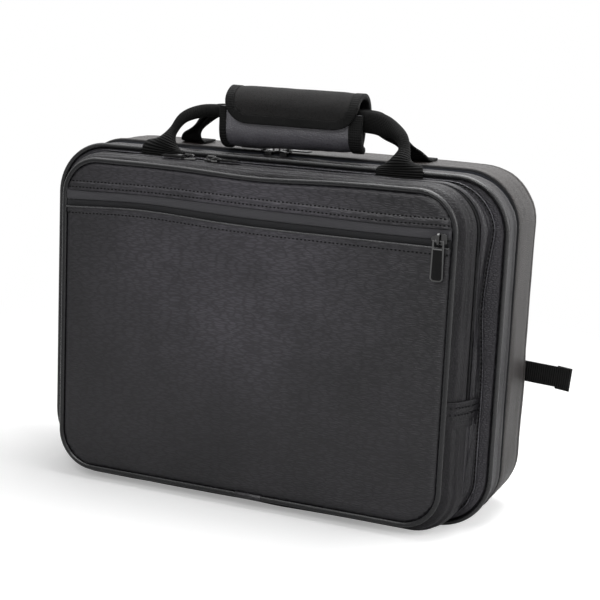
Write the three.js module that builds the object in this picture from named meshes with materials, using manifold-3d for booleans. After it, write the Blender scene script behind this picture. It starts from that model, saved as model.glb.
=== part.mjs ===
// A soft-covered double clarinet case: a deep rear shell and a shallow lid joined by a zip and a
// cloth hinge, a zipped gusset pocket on the lid with a flat zipped pocket in its face, a padded
// handle and two shoulder straps. Millimetres, +X to the right, +Y to the rear, +Z up.
// The origin is the middle of the rear shell's flat bottom.
import * as THREE from "three";
import { mergeVertices } from "three/addons/utils/BufferGeometryUtils.js";
import Module from "manifold-3d";

const wasm = await Module();
wasm.setup();

// Driving sizes of the case
const caseWidth = 390;
const caseHeight = 278;
const cornerRadius = 44;
const shellDepth = 64;
const lidDepth = 24;
const zipWidth = 6;
const pocketDepth = 41;
const lidDrop = 2;
const lidLift = 0.3;

// Running and seating clearance between neighbours, and the overrun of a cutting tool
const gap = 0.3;
const overrun = 20;

// Shell and lid walls
const wall = 4;
const lidFace = 3;
const backRound = 14;
const bandInset = 2;
const edgeInset = 1.5;
const edgeRun = 8;
const pipingRadius = 2.2;
const pipingProud = 1.2;
const cornerSteps = 7;
const leastRadius = 1;

// Main zip
const coilInset = 3;
const coilThickness = 2.5;
const zipEndHeight = 18;
const hingeThickness = 1.2;

// Gusset pocket
const flangeSideInset = 15;
const flangeTopInset = 8;
const flangeBottomInset = 7.8;
const flangeWidth = 2.8;
const flangeThickness = 1.2;
const gussetWall = 1.8;
const gussetBulge = 3;
const pouchSag = 5;
const gussetSteps = 8;
const pocketCornerRadius = 34;
const panelWidth = 334;
const panelTopDrop = 8;
const panelLift = 7.7;
const panelCornerRadius = 32;
const panelThickness = 4;
const panelEdgeRun = 10;
const panelCrown = 1;
const gussetInset = 1.5;
const pocketZipBack = 14;
const pocketZipWidth = 6;
const pocketZipEnd = 101;
const pocketCoilInset = 0.6;
const pocketCoilThickness = 1.8;
const tabHeight = 13;
const tabWidth = 15;
const tabThickness = 1.3;

// Flat pocket in the front panel
const flatZipHeight = 232.5;
const flatSlotHeight = 14;
const flatSlotDepth = 2.2;
const flatSlotMargin = 2;
const weltHeight = 4;
const weltProud = 1.6;
const flatCoilHeight = 4.6;
const flatCoilDepth = 1.4;

// Lining pad in the lid
const padThickness = 8;
const padSideRun = 3;
const padCrown = 1.5;
const padCrownRun = 34;

// Fitted insert and its wells
const insertSetback = 2;
const insertEdge = 3;
const wellWeb = 5.5;
const jointWellRadius = 19;
const longJointLength = 262;
const shortJointLength = 235;
const jointWellDepth = 33;
const bellRadius = 40;
const bellNeckRadius = 23;
const bellLength = 106;
const bellWellDepth = 50;
const smallWellRadius = 17;
const barrelLength = 62;
const mouthpieceLength = 90;
const smallWellDepth = 32;
const trayDepth = 45;
const trayCornerRadius = 14;
const columnWidth = 97.5;
const trayWidth = 134;
const arcSteps = 8;

// Carrying handles and the padded grip
const handleOffset = 5;
const handleHalfSpan = 101.5;
const webbingWidth = 38;
const webbingThickness = 2.2;
const foldedHeight = 14;
const foldedThickness = 10.4;
const handleLift = 25;
const gripLength = 128;
const gripWall = 4;
const gripClear = 5;
const gripFrontRise = 30;
const gripRearRise = 35;
const flapLength = 118;
const flapThickness = 3.5;
const flapRise = 48;
const flapDrop = 29;
const flapCornerRadius = 14;
const rearBaseBack = 34;

// Sliders and pulls
const sliderLength = 12;
const sliderWidth = 9;
const sliderPlate = 1.4;
const sliderNeckWidth = 4.6;
const bridgeWidth = 1.6;
const bridgeThickness = 1.2;
const bridgeRise = 1.9;
const pullThickness = 1.1;
const pullEyeBar = 1.1;
const pullEyeLength = 5;
const pullEyeWidth = 6.4;
const pullTopWidth = 9;
const pullEndWidth = 10;
const shortPullLength = 22;
const longPullLength = 30;
const mainSliderCentres = [-15.5, -2.5];
const pocketSliderCentres = [-65, -45];

// Shoulder straps on the back
const strapPatchWidth = 150;
const strapPatchHeight = 38;
const strapPatchThickness = 2.4;
const strapPatchTop = 262;
const strapWidth = 52;
const strapThickness = 9;
const strapBevel = 2.5;
const strapTopX = 40;
const strapBowX = 104;
const strapBowShare = 0.55;
const strapEndX = 96;
const strapEndHeight = 128;
const buckleWidth = 32;
const buckleHeight = 26;
const buckleThickness = 5;
const buckleRim = 3.5;
const buckleBar = 4;
const tailWebWidth = 17;
const tailWebThickness = 1.8;
const tailLength = 134;
const tailHemLength = 12;
const anchorSetback = 37;
const anchorHeight = 30;
const anchorSize = 46;
const anchorThickness = 2.4;

// Places worked out from the sizes above
const bridgeSpan = sliderWidth;
const halfCase = caseWidth / 2;
const anchorX = halfCase - anchorSetback;
const gripBottom = caseHeight + gripClear;
const handleCentreHeight = gripBottom + handleLift;
const flapTop = gripBottom + flapRise;
const shellFront = -shellDepth / 2;
const shellBack = shellDepth / 2;
const zipPlane = shellFront - zipWidth / 2;
const lidBack = shellFront - zipWidth;
const lidFront = lidBack - lidDepth;
const panelFront = lidFront - pocketDepth;
const rebate = 2 * pipingRadius + gap;
const lidPipingY = lidFront - pipingProud + pipingRadius;
const panelPipingY = panelFront + pipingRadius - gap;
const gussetBack = lidFront - gap - flangeThickness;
const gussetFront = panelPipingY + pipingRadius + gap;
const pocketZipY = lidFront - pocketZipBack - pocketZipWidth / 2;
const shellShape = { halfWidth: halfCase - edgeInset / 2, bottom: 0, top: caseHeight, radius: cornerRadius };
const lidShape = { halfWidth: halfCase, bottom: lidLift, top: caseHeight - lidDrop, radius: cornerRadius };
const flangeShape = {
  halfWidth: halfCase - flangeSideInset,
  bottom: lidLift + flangeBottomInset,
  top: lidShape.top - flangeTopInset,
  radius: pocketCornerRadius,
};
const panelShape = {
  halfWidth: panelWidth / 2,
  bottom: lidLift + panelLift,
  top: lidShape.top - panelTopDrop,
  radius: panelCornerRadius,
};

// Colours, roughness and metalness of the real pieces
const looks = {
  cover: [0x3b3a3f, 0.45, 0],
  shade: [0x2f2e31, 0.5, 0],
  piping: [0x1d1d20, 0.3, 0],
  webbing: [0x151517, 0.85, 0],
  tape: [0x101011, 0.9, 0],
  metal: [0x2a2a2d, 0.35, 0.9],
  lining: [0x23262e, 0.95, 0],
  plastic: [0x0f0f10, 0.5, 0],
};

// Closed geometry to a solid that can be cut and joined, and back
function solidOf(geometry) {
  const bare = new THREE.BufferGeometry().setAttribute("position", geometry.getAttribute("position"));
  if (geometry.index) bare.setIndex(geometry.index);
  const merged = mergeVertices(bare);
  const mesh = new wasm.Mesh({
    numProp: 3,
    vertProperties: merged.getAttribute("position").array,
    triVerts: new Uint32Array(merged.index.array),
  });
  return new wasm.Manifold(mesh);
}

function geometryOf(solid) {
  const mesh = solid.getMesh();
  const geometry = new THREE.BufferGeometry();
  geometry.setAttribute("position", new THREE.BufferAttribute(new Float32Array(mesh.vertProperties), 3));
  geometry.setIndex(new THREE.BufferAttribute(new Uint32Array(mesh.triVerts), 1));
  const flat = geometry.toNonIndexed();
  flat.computeVertexNormals();
  return flat;
}

// A closed skin over rings of equal point counts, its ends capped or joined to each other
function skin(rings, closed = false) {
  const count = rings[0].length;
  const positions = rings.flat().flatMap((point) => point.toArray());
  const faces = [];
  const joins = closed ? rings.length : rings.length - 1;
  for (let row = 0; row < joins; row++) {
    const next = (row + 1) % rings.length;
    for (let i = 0; i < count; i++) {
      const j = (i + 1) % count;
      faces.push(row * count + i, row * count + j, next * count + j);
      faces.push(row * count + i, next * count + j, next * count + i);
    }
  }
  if (!closed) {
    for (const [ring, outward] of [[0, false], [rings.length - 1, true]]) {
      const centre = positions.length / 3;
      const middle = rings[ring].reduce((sum, point) => sum.add(point), new THREE.Vector3());
      positions.push(...middle.divideScalar(count).toArray());
      for (let i = 0; i < count; i++) {
        const a = ring * count + i;
        const b = ring * count + ((i + 1) % count);
        faces.push(...(outward ? [a, b, centre] : [b, a, centre]));
      }
    }
  }
  const geometry = new THREE.BufferGeometry();
  geometry.setAttribute("position", new THREE.Float32BufferAttribute(positions, 3));
  geometry.setIndex(signedVolume(positions, faces) < 0 ? faces.reverse() : faces);
  return solidOf(geometry);
}

function signedVolume(positions, faces) {
  const corner = (index) => new THREE.Vector3().fromArray(positions, 3 * index);
  let sum = 0;
  for (let i = 0; i < faces.length; i += 3) {
    sum += corner(faces[i]).dot(corner(faces[i + 1]).cross(corner(faces[i + 2])));
  }
  return sum;
}

// A rounded rectangle standing in the XZ plane at depth y, drawn in by an inset
function ring(shape, inset, y) {
  const halfWidth = shape.halfWidth - inset;
  const bottom = shape.bottom + inset;
  const top = shape.top - inset;
  const radius = Math.max(shape.radius - inset, leastRadius);
  const centres = [
    [halfWidth - radius, top - radius],
    [radius - halfWidth, top - radius],
    [radius - halfWidth, bottom + radius],
    [halfWidth - radius, bottom + radius],
  ];
  return centres.flatMap(([x, z], quarter) =>
    Array.from({ length: cornerSteps + 1 }, (_, step) => {
      const angle = ((quarter + step / cornerSteps) * Math.PI) / 2;
      return new THREE.Vector3(x + radius * Math.cos(angle), y, z + radius * Math.sin(angle));
    }),
  );
}

function mixShape(a, b, share) {
  const mix = (key) => THREE.MathUtils.lerp(a[key], b[key], share);
  return { halfWidth: mix("halfWidth"), bottom: mix("bottom"), top: mix("top"), radius: mix("radius") };
}

function box(x0, x1, y0, y1, z0, z1) {
  const geometry = new THREE.BoxGeometry(x1 - x0, y1 - y0, z1 - z0);
  geometry.translate((x0 + x1) / 2, (y0 + y1) / 2, (z0 + z1) / 2);
  return solidOf(geometry);
}

// Everything above, or below, a height, over the whole case
function above(height) {
  return box(-caseWidth, caseWidth, -caseWidth, caseWidth, height, 2 * caseHeight);
}

function below(height) {
  return box(-caseWidth, caseWidth, -caseWidth, caseWidth, -caseHeight, height);
}

// A round piping bead that follows an outline
function piping(shape, y) {
  const sides = 8;
  const turns = Array.from({ length: sides }, (_, k) => (2 * Math.PI * k) / sides);
  return skin(
    turns.map((a) => ring(shape, pipingRadius * (1 + Math.cos(a)), y + pipingRadius * Math.sin(a))),
    true,
  );
}

// A flat outline in XZ, given thickness along Y from y0 towards the rear
function slab(outline, y0, thickness, bevel = 0) {
  const geometry = new THREE.ExtrudeGeometry(outline, {
    depth: thickness - 2 * bevel,
    bevelEnabled: bevel > 0,
    bevelThickness: bevel,
    bevelSize: bevel,
    bevelOffset: -bevel,
    bevelSegments: 2,
    curveSegments: arcSteps,
    steps: 1,
  });
  geometry.rotateX(Math.PI / 2);
  geometry.translate(0, y0 + thickness - bevel, 0);
  return solidOf(geometry);
}

// A flat outline in YZ, given length along X from x0 to x1
function along(outline, x0, x1) {
  const geometry = new THREE.ExtrudeGeometry(outline, {
    depth: x1 - x0,
    bevelEnabled: false,
    curveSegments: arcSteps,
    steps: 1,
  });
  geometry.applyMatrix4(
    new THREE.Matrix4().makeBasis(
      new THREE.Vector3(0, 1, 0),
      new THREE.Vector3(0, 0, 1),
      new THREE.Vector3(1, 0, 0),
    ),
  );
  geometry.translate(x0, 0, 0);
  return solidOf(geometry);
}

function roundedOutline(x0, x1, z0, z1, radius) {
  const outline = new THREE.Shape();
  outline.moveTo(x0 + radius, z0);
  outline.lineTo(x1 - radius, z0);
  outline.absarc(x1 - radius, z0 + radius, radius, -Math.PI / 2, 0, false);
  outline.lineTo(x1, z1 - radius);
  outline.absarc(x1 - radius, z1 - radius, radius, 0, Math.PI / 2, false);
  outline.lineTo(x0 + radius, z1);
  outline.absarc(x0 + radius, z1 - radius, radius, Math.PI / 2, Math.PI, false);
  outline.lineTo(x0, z0 + radius);
  outline.absarc(x0 + radius, z0 + radius, radius, Math.PI, 1.5 * Math.PI, false);
  return outline;
}

// The back's rounding, outside and inside, as shares of its radius: drawn in, and short of the back
const backRoundShares = [[0, 1], [0.12, 0.55], [0.4, 0.18], [1, 0]];
const innerRoundShares = [[0.6, 0], [0.15, 0.45], [0, 1]];

// Rear shell: a deep tray with a softly rounded back, open towards the lid
function rearShell() {
  const rounded = (shares, inset, back) =>
    shares.map(([drawn, short]) => ring(shellShape, inset + backRound * drawn, back - backRound * short));
  return skin([
    ...rounded(innerRoundShares, wall, shellBack - wall),
    ring(shellShape, wall + edgeInset, shellFront),
    ring(shellShape, edgeInset, shellFront),
    ring(shellShape, 0, shellFront + edgeRun),
    ...rounded(backRoundShares, 0, shellBack),
  ]);
}

// Lid: a shallow tray open towards the rear shell, with a rebate for the piping at its front edge
function lidShell() {
  const rebateY = lidPipingY + pipingRadius + gap;
  const innerFace = lidFront + lidFace;
  return skin([
    ring(lidShape, bandInset + wall + lidFace, innerFace),
    ring(lidShape, bandInset + wall, innerFace + lidFace),
    ring(lidShape, bandInset + wall, lidBack),
    ring(lidShape, bandInset, lidBack),
    ring(lidShape, bandInset, rebateY),
    ring(lidShape, rebate, rebateY),
    ring(lidShape, rebate, lidFront),
  ]);
}

// One side of the main zip: coil and tape, round the top and both sides
function mainZip(y0, y1) {
  const band = [
    ring(lidShape, coilInset, y0),
    ring(lidShape, coilInset, y1),
    ring(lidShape, coilInset + coilThickness, y1),
    ring(lidShape, coilInset + coilThickness, y0),
  ];
  return skin(band, true).subtract(below(zipEndHeight));
}

// The cloth strip along the bottom that the lid folds on
function hingeStrip() {
  const outer = gap - lidLift;
  const band = [
    ring(lidShape, outer, lidBack + gap),
    ring(lidShape, outer, shellFront - gap),
    ring(lidShape, outer + hingeThickness, shellFront - gap),
    ring(lidShape, outer + hingeThickness, lidBack + gap),
  ];
  return skin(band, true).subtract(above(zipEndHeight - gap));
}

// Lining pad behind the lid's face, with drawn-in sides and a crown
function lidPad() {
  const y0 = lidFront + lidFace + gap;
  const inset = bandInset + wall + gap;
  return skin([
    ring(lidShape, inset + lidFace, y0),
    ring(lidShape, inset, y0 + padSideRun),
    ring(lidShape, inset + padSideRun / 3, y0 + padThickness - padSideRun),
    ring(lidShape, inset + padSideRun * 2, y0 + padThickness - padCrown),
    ring(lidShape, inset + padCrownRun, y0 + padThickness),
  ]);
}

// The gusset's outline at a depth, between its seam on the lid and the front panel
function gussetRing(y, offset) {
  const share = (y - gussetBack) / (gussetFront - gussetBack);
  const shape = mixShape(flangeShape, panelShape, share);
  const swell = Math.sin(Math.PI * share);
  shape.bottom -= pouchSag * swell;
  return ring(shape, offset + gussetInset * share - gussetBulge * swell, y);
}

function wholeGusset() {
  const depths = Array.from(
    { length: gussetSteps + 1 },
    (_, k) => gussetBack + ((gussetFront - gussetBack) * k) / gussetSteps,
  );
  const outer = depths.map((y) => gussetRing(y, 0));
  const inner = depths.map((y) => gussetRing(y, gussetWall)).reverse();
  return skin(
    [
      ring(flangeShape, -flangeWidth, lidFront - gap),
      ring(flangeShape, -flangeWidth, gussetBack),
      ...outer,
      ...inner,
      ring(flangeShape, gussetWall, lidFront - gap),
    ],
    true,
  );
}

// The gusset sewn to the lid: all round at the back, and full depth below the zip's ends
function gussetRear() {
  const openBand = box(
    -caseWidth,
    caseWidth,
    -caseWidth,
    pocketZipY + pocketZipWidth / 2,
    pocketZipEnd,
    2 * caseHeight,
  );
  return wholeGusset().subtract(openBand);
}

// The gusset band that opens with the front panel
function gussetFrontBand() {
  const kept = box(
    -caseWidth,
    caseWidth,
    -caseWidth,
    pocketZipY - pocketZipWidth / 2,
    pocketZipEnd + gap,
    2 * caseHeight,
  );
  return wholeGusset().intersect(kept);
}

// One side of the pocket's zip, over the top and down both sides to the end tabs
function pocketZip(y0, y1) {
  const band = [
    gussetRing(y0, pocketCoilInset),
    gussetRing(y1, pocketCoilInset),
    gussetRing(y1, pocketCoilInset + pocketCoilThickness),
    gussetRing(y0, pocketCoilInset + pocketCoilThickness),
  ];
  return skin(band, true).subtract(below(pocketZipEnd + gap));
}

// A tab sewn over an end of the pocket's zip, bent to the gusset's side
function endTab(side) {
  const depths = [-1, 0, 1].map((share) => pocketZipY + (share * tabWidth) / 2);
  const band = [
    ...depths.map((y) => gussetRing(y, -gap - tabThickness)),
    ...depths.map((y) => gussetRing(y, -gap)).reverse(),
  ];
  const middle = pocketZipEnd - tabHeight / 2;
  const half = tabHeight / 2;
  const kept = box(
    side > 0 ? 0 : -caseWidth,
    side > 0 ? caseWidth : 0,
    -caseWidth,
    caseWidth,
    middle - half + tabHeight / 4,
    middle + half + tabHeight / 4,
  );
  return skin(band, true).intersect(kept);
}

// Front panel: a padded plate inside its piping, slightly crowned
function wholePanel() {
  return skin([
    ring(panelShape, rebate, panelFront + panelThickness),
    ring(panelShape, rebate, panelFront + panelCrown),
    ring(panelShape, rebate + panelEdgeRun / 2, panelFront + panelCrown / 4),
    ring(panelShape, rebate + panelEdgeRun, panelFront),
  ]);
}

// The flat pocket's slot runs across the panel between the side pipings
const slotHalf = panelShape.halfWidth - rebate - flatSlotMargin;
const slotBottom = flatZipHeight - flatSlotHeight / 2;
const slotTop = flatZipHeight + flatSlotHeight / 2;

function panelUpper() {
  const slot = box(
    -slotHalf,
    slotHalf,
    panelFront - overrun,
    panelFront + flatSlotDepth,
    slotBottom,
    slotTop,
  );
  return wholePanel().intersect(above(pocketZipEnd + gap)).subtract(slot);
}

// A rolled lip along the slot, its crest towards the coil
function welt(side) {
  const outer = side > 0 ? slotTop - gap : slotBottom + gap;
  const inner = outer - side * weltHeight;
  const floor = panelFront + flatSlotDepth - gap;
  const lip = new THREE.Shape();
  const steps = arcSteps;
  lip.moveTo(floor, outer);
  lip.lineTo(floor, inner);
  for (let k = 0; k <= steps; k++) {
    const angle = (Math.PI * k) / (2 * steps);
    lip.lineTo(
      floor - (flatSlotDepth + weltProud - gap) * Math.sin(angle),
      THREE.MathUtils.lerp(outer, inner, Math.cos(angle)),
    );
  }
  return along(lip, gap - slotHalf, slotHalf - gap);
}

function flatCoil() {
  const floor = panelFront + flatSlotDepth - gap;
  return box(
    gap - slotHalf,
    slotHalf - gap,
    floor - flatCoilDepth,
    floor,
    flatZipHeight - flatCoilHeight / 2,
    flatZipHeight + flatCoilHeight / 2,
  );
}

// A trough with a round floor, open to the front, along X or Z between two radii
function well(from, to, startRadius, endRadius, centreOf, front, depth, alongX) {
  const section = (at, radius) => {
    const centreDepth = front + depth - radius;
    const points = [];
    for (let k = 0; k <= arcSteps; k++) {
      const angle = (Math.PI * k) / arcSteps;
      points.push([radius * Math.cos(angle), centreDepth + radius * Math.sin(angle)]);
    }
    points.push([-radius, front - overrun], [radius, front - overrun]);
    return points.map(([across, y]) =>
      alongX ? new THREE.Vector3(at, y, centreOf + across) : new THREE.Vector3(centreOf + across, y, at),
    );
  };
  return skin([section(from, startRadius), section(to, endRadius)]);
}

// The insert fills the rear shell and is glued up from foam blocks
const insertFront = shellFront + insertSetback;
const insertHalf = shellShape.halfWidth - wall - edgeInset - gap;
const insertBottom = wall + edgeInset + gap;
const insertTop = caseHeight - wall - edgeInset - gap;
const columnLeft = insertHalf - columnWidth;
const trayLeft = insertHalf - trayWidth;
const rowSplit = insertBottom + 2 * bellRadius + 2 * wellWeb;

function wholeInsert() {
  const inset = wall + edgeInset + gap;
  return skin([
    ...innerRoundShares.map(([drawn, short]) =>
      ring(shellShape, inset + backRound * drawn, shellBack - wall - gap - backRound * short),
    ),
    ring(shellShape, inset, insertFront + insertEdge),
    ring(shellShape, inset + insertEdge / 3, insertFront + insertEdge / 3),
    ring(shellShape, inset + insertEdge, insertFront),
  ]);
}

function insertBlock(x0, x1, z0, z1, wells) {
  const block = wholeInsert().intersect(box(x0, x1, -caseWidth, caseWidth, z0, z1));
  return wells.reduce((left, tool) => left.subtract(tool), block);
}

// A joint well in a foam block of its own for each row, the short joints in the first and third
const jointLengths = [shortJointLength, longJointLength, shortJointLength, longJointLength];

function jointRow(row) {
  const rows = jointLengths.length;
  const web = (insertTop - rowSplit - 2 * rows * jointWellRadius) / (rows + 1);
  const pitch = 2 * jointWellRadius + web;
  const centre = insertTop - web - jointWellRadius - row * pitch;
  const right = columnLeft - wellWeb;
  const left = right - jointLengths[row];
  const tool = well(left, right, jointWellRadius, jointWellRadius, centre, insertFront, jointWellDepth, true);
  const top = row === 0 ? caseHeight : centre + pitch / 2 - gap / 2;
  const bottom = row === rows - 1 ? rowSplit + gap / 2 : centre - pitch / 2 + gap / 2;
  return insertBlock(-halfCase, columnLeft - gap / 2, bottom, top, [tool]);
}

// Two bell wells, wide ends together
function bellsBlock() {
  const centre = insertBottom + bellRadius + wellWeb;
  const middle = trayLeft - 2 * wellWeb - bellLength;
  const left = middle - wellWeb - bellLength;
  const wells = [
    well(left, middle - wellWeb, bellNeckRadius, bellRadius, centre, insertFront, bellWellDepth, true),
    well(middle, middle + bellLength, bellRadius, bellNeckRadius, centre, insertFront, bellWellDepth, true),
  ];
  return insertBlock(-halfCase, trayLeft - gap / 2, 0, rowSplit - gap / 2, wells);
}

// Barrel and mouthpiece wells in two upright columns
function mouthpieceBlock() {
  const first = columnLeft + wellWeb + smallWellRadius;
  const second = first + 2 * smallWellRadius + wellWeb;
  const start = rowSplit + wellWeb;
  const upright = (centre, z0, length) =>
    well(z0, z0 + length, smallWellRadius, smallWellRadius, centre, insertFront, smallWellDepth, false);
  const wells = [
    upright(first, start, barrelLength),
    upright(first, start + barrelLength + wellWeb, mouthpieceLength),
    upright(second, start, mouthpieceLength),
    upright(second, start + mouthpieceLength + wellWeb, barrelLength),
  ];
  return insertBlock(columnLeft + gap / 2, halfCase, rowSplit + gap / 2, caseHeight, wells);
}

// An open tray for reeds and small things
function accessoryBlock() {
  const outline = roundedOutline(
    trayLeft + wellWeb,
    insertHalf - 2 * wellWeb,
    insertBottom + wellWeb,
    rowSplit - wellWeb,
    trayCornerRadius,
  );
  const tool = slab(outline, insertFront - overrun, trayDepth + overrun);
  return insertBlock(trayLeft + gap / 2, halfCase, 0, rowSplit - gap / 2, [tool]);
}

// A webbing handle's section at one station: a rounded bar in the plane of its wide and thin ways
function strapRing(centre, wide, thin, halfWide, halfThin) {
  const sides = 12;
  const soften = (value) => Math.sign(value) * Math.sqrt(Math.abs(value));
  return Array.from({ length: sides }, (_, k) => {
    const angle = (2 * Math.PI * (k + 0.5)) / sides;
    return centre
      .clone()
      .addScaledVector(wide, halfWide * soften(Math.cos(angle)))
      .addScaledVector(thin, halfThin * soften(Math.sin(angle)));
  });
}

// Shares along one half of a handle, from its sewn base to the end of the grip:
// run inwards, rise, lean towards the grip, turn from upright to level, fold, and lie flat
const frontHandleShares = [
  [0, 0, 0, 0, 0, 0],
  [0.01, 0.19, 0, 0, 0.1, 0],
  [0.06, 0.36, 0.12, 0.07, 0.62, 0],
  [0.14, 0.56, 0.36, 0.2, 0.95, 0],
  [0.3, 0.82, 0.62, 0.46, 1, 0],
  [0.62, 0.96, 0.86, 0.78, 1, 0],
  [1, 1, 1, 1, 1, 0],
];
const rearHandleShares = [
  [0, 0, 0, 0, 0, 1],
  [0, 0, 0.42, 0, 0, 1],
  [0.01, 0.08, 0.6, 0, 0.1, 0.6],
  [0.06, 0.26, 0.72, 0.08, 0.5, 0.15],
  [0.16, 0.52, 0.8, 0.22, 0.9, 0],
  [0.32, 0.78, 0.88, 0.46, 1, 0],
  [0.62, 0.95, 0.95, 0.78, 1, 0],
  [1, 1, 1, 1, 1, 0],
];

function handleStation(shares, side, base, grip) {
  const [run, rise, lean, turn, fold, lie] = shares;
  const { lerp } = THREE.MathUtils;
  const centre = new THREE.Vector3(
    handleOffset + side * lerp(handleHalfSpan, gripLength / 2, run),
    lerp(base.y, grip.y, lean),
    lerp(base.z, grip.z, rise),
  );
  const angle = (turn * Math.PI) / 2;
  const roll = (lie * Math.PI) / 2;
  const wide = new THREE.Vector3(-side * Math.cos(angle), 0, -Math.sin(angle));
  const thin = new THREE.Vector3(0, Math.cos(roll), Math.sin(roll));
  const halfWide = lerp(webbingWidth, foldedHeight, fold) / 2;
  const halfThin = lerp(webbingThickness, foldedThickness, fold) / 2;
  return strapRing(centre, wide, thin, halfWide, halfThin);
}

function handle(table, base, grip) {
  const left = table.map((shares) => handleStation(shares, -1, base, grip));
  const right = table.map((shares) => handleStation(shares, 1, base, grip)).reverse();
  return skin([...left, ...right]);
}

const gripCentreY = zipPlane - bandInset - gap;
const frontHandleY = gripCentreY - foldedThickness / 2 - gap / 2;
const rearHandleY = gripCentreY + foldedThickness / 2 + gap / 2;
const frontBase = {
  y: gussetBack - gap - webbingThickness / 2,
  z: flangeShape.top + gussetBulge / 3 + gap,
};
const rearBase = {
  y: shellFront + rearBaseBack,
  z: caseHeight + gap + webbingThickness / 2,
};

function frontHandle() {
  return handle(frontHandleShares, frontBase, { y: frontHandleY, z: handleCentreHeight });
}

function rearHandle() {
  return handle(rearHandleShares, rearBase, { y: rearHandleY, z: handleCentreHeight });
}

// A band of even thickness along a line of points in YZ
function bandOutline(points, thickness) {
  const side = (sign) =>
    points.map((point, i) => {
      const before = points[Math.max(i - 1, 0)];
      const after = points[Math.min(i + 1, points.length - 1)];
      const run = after.clone().sub(before).normalize();
      return new THREE.Vector2(-run.y, run.x).multiplyScalar((sign * thickness) / 2).add(point);
    });
  return new THREE.Shape([...side(1), ...side(-1).reverse()]);
}

function arcPoints(centre, radius, start, end) {
  return Array.from({ length: arcSteps + 1 }, (_, k) => {
    const angle = THREE.MathUtils.lerp(start, end, k / arcSteps);
    return new THREE.Vector2(centre.x + radius * Math.cos(angle), centre.y + radius * Math.sin(angle));
  });
}

// The padded wrap round both handles: up the rear, round the bottom and part way up the front
const gripInnerHalf = foldedThickness + gap / 2 + gap;
const gripLineHalf = gripInnerHalf + gripWall / 2;
const gripOuterHalf = gripInnerHalf + gripWall;
const gripArcZ = gripBottom + gripOuterHalf;
const gripX0 = handleOffset - gripLength / 2;
const gripX1 = handleOffset + gripLength / 2;

function gripWrap() {
  const centre = new THREE.Vector2(gripCentreY, gripArcZ);
  const line = [
    new THREE.Vector2(gripCentreY + gripLineHalf, gripBottom + gripRearRise),
    ...arcPoints(centre, gripLineHalf, 0, -Math.PI),
    new THREE.Vector2(gripCentreY - gripLineHalf, gripBottom + gripFrontRise),
  ];
  return along(bandOutline(line, gripWall), gripX0, gripX1);
}

// The flap: from the top of the wrap's rear wall over the top and down the front
const flapFrontY = gripCentreY - gripOuterHalf - gap - flapThickness / 2;
const flapRearY = gripCentreY + gripLineHalf;
const flapArcRadius = (flapRearY - flapFrontY) / 2;
const flapArcCentre = new THREE.Vector2(
  (flapRearY + flapFrontY) / 2,
  flapTop - flapThickness / 2 - flapArcRadius,
);
const flapHinge = { y: gripCentreY + gripOuterHalf, z: gripBottom + gripRearRise + gap / 2 };

function gripFlap() {
  const startRise = flapHinge.z + gap + flapThickness / 2 - flapArcCentre.y;
  const start = Math.asin(startRise / flapArcRadius);
  const line = [
    ...arcPoints(flapArcCentre, flapArcRadius, start, Math.PI),
    new THREE.Vector2(flapFrontY, flapTop - flapDrop),
  ];
  const x0 = handleOffset - flapLength / 2;
  const x1 = handleOffset + flapLength / 2;
  const whole = along(bandOutline(line, flapThickness), x0, x1);
  const trim = roundedOutline(x0, x1, flapTop - flapDrop, flapTop + overrun, flapCornerRadius);
  return whole.intersect(slab(trim, -caseWidth, 2 * caseWidth));
}

// A slider lying on a zip, in its own frame: outward along Z, its bridge along X, and its body along
// X or turned across it. The neck drops between the tapes.
function sliderSolid(neckDrop, bodyTurn) {
  const half = sliderLength / 2;
  const nose = sliderWidth / 3;
  const outline = new THREE.Shape();
  outline.moveTo(-half, -nose / 2);
  outline.lineTo(half / 3, -sliderWidth / 2);
  outline.lineTo(half, -nose);
  outline.lineTo(half, nose);
  outline.lineTo(half / 3, sliderWidth / 2);
  outline.lineTo(-half, nose / 2);
  const plate = new THREE.ExtrudeGeometry(outline, { depth: sliderPlate, bevelEnabled: false });
  const neck = new THREE.BoxGeometry(sliderLength / 2, sliderNeckWidth, neckDrop + sliderPlate / 2);
  neck.translate(0, 0, (sliderPlate / 2 - neckDrop) / 2);
  plate.rotateZ(bodyTurn);
  neck.rotateZ(bodyTurn);
  return solidOf(plate).add(solidOf(neck)).add(bridgeSolid());
}

// The bridge that the pull hangs from: two legs and a crown
function bridgeSolid() {
  const top = sliderPlate + bridgeRise + bridgeThickness;
  const shape = new THREE.Shape();
  const half = bridgeSpan / 2;
  shape.moveTo(-half, sliderPlate / 2);
  shape.lineTo(-half, top - bridgeThickness);
  shape.lineTo(bridgeThickness - half, top);
  shape.lineTo(half - bridgeThickness, top);
  shape.lineTo(half, top - bridgeThickness);
  shape.lineTo(half, sliderPlate / 2);
  shape.lineTo(half - bridgeThickness, sliderPlate / 2);
  shape.lineTo(half - bridgeThickness, top - bridgeThickness);
  shape.lineTo(bridgeThickness - half, top - bridgeThickness);
  shape.lineTo(bridgeThickness - half, sliderPlate / 2);
  const geometry = new THREE.ExtrudeGeometry(shape, { depth: bridgeWidth, bevelEnabled: false });
  geometry.rotateX(Math.PI / 2);
  geometry.translate(0, bridgeWidth / 2, 0);
  return solidOf(geometry);
}

// The pull's turning place under the bridge, from the slider's own frame
const pullPivotX = bridgeSpan / 2 - bridgeThickness - gap - pullEyeBar / 2 - pullEyeBar;
const pullPivotZ = sliderPlate + bridgeRise / 2;

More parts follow.
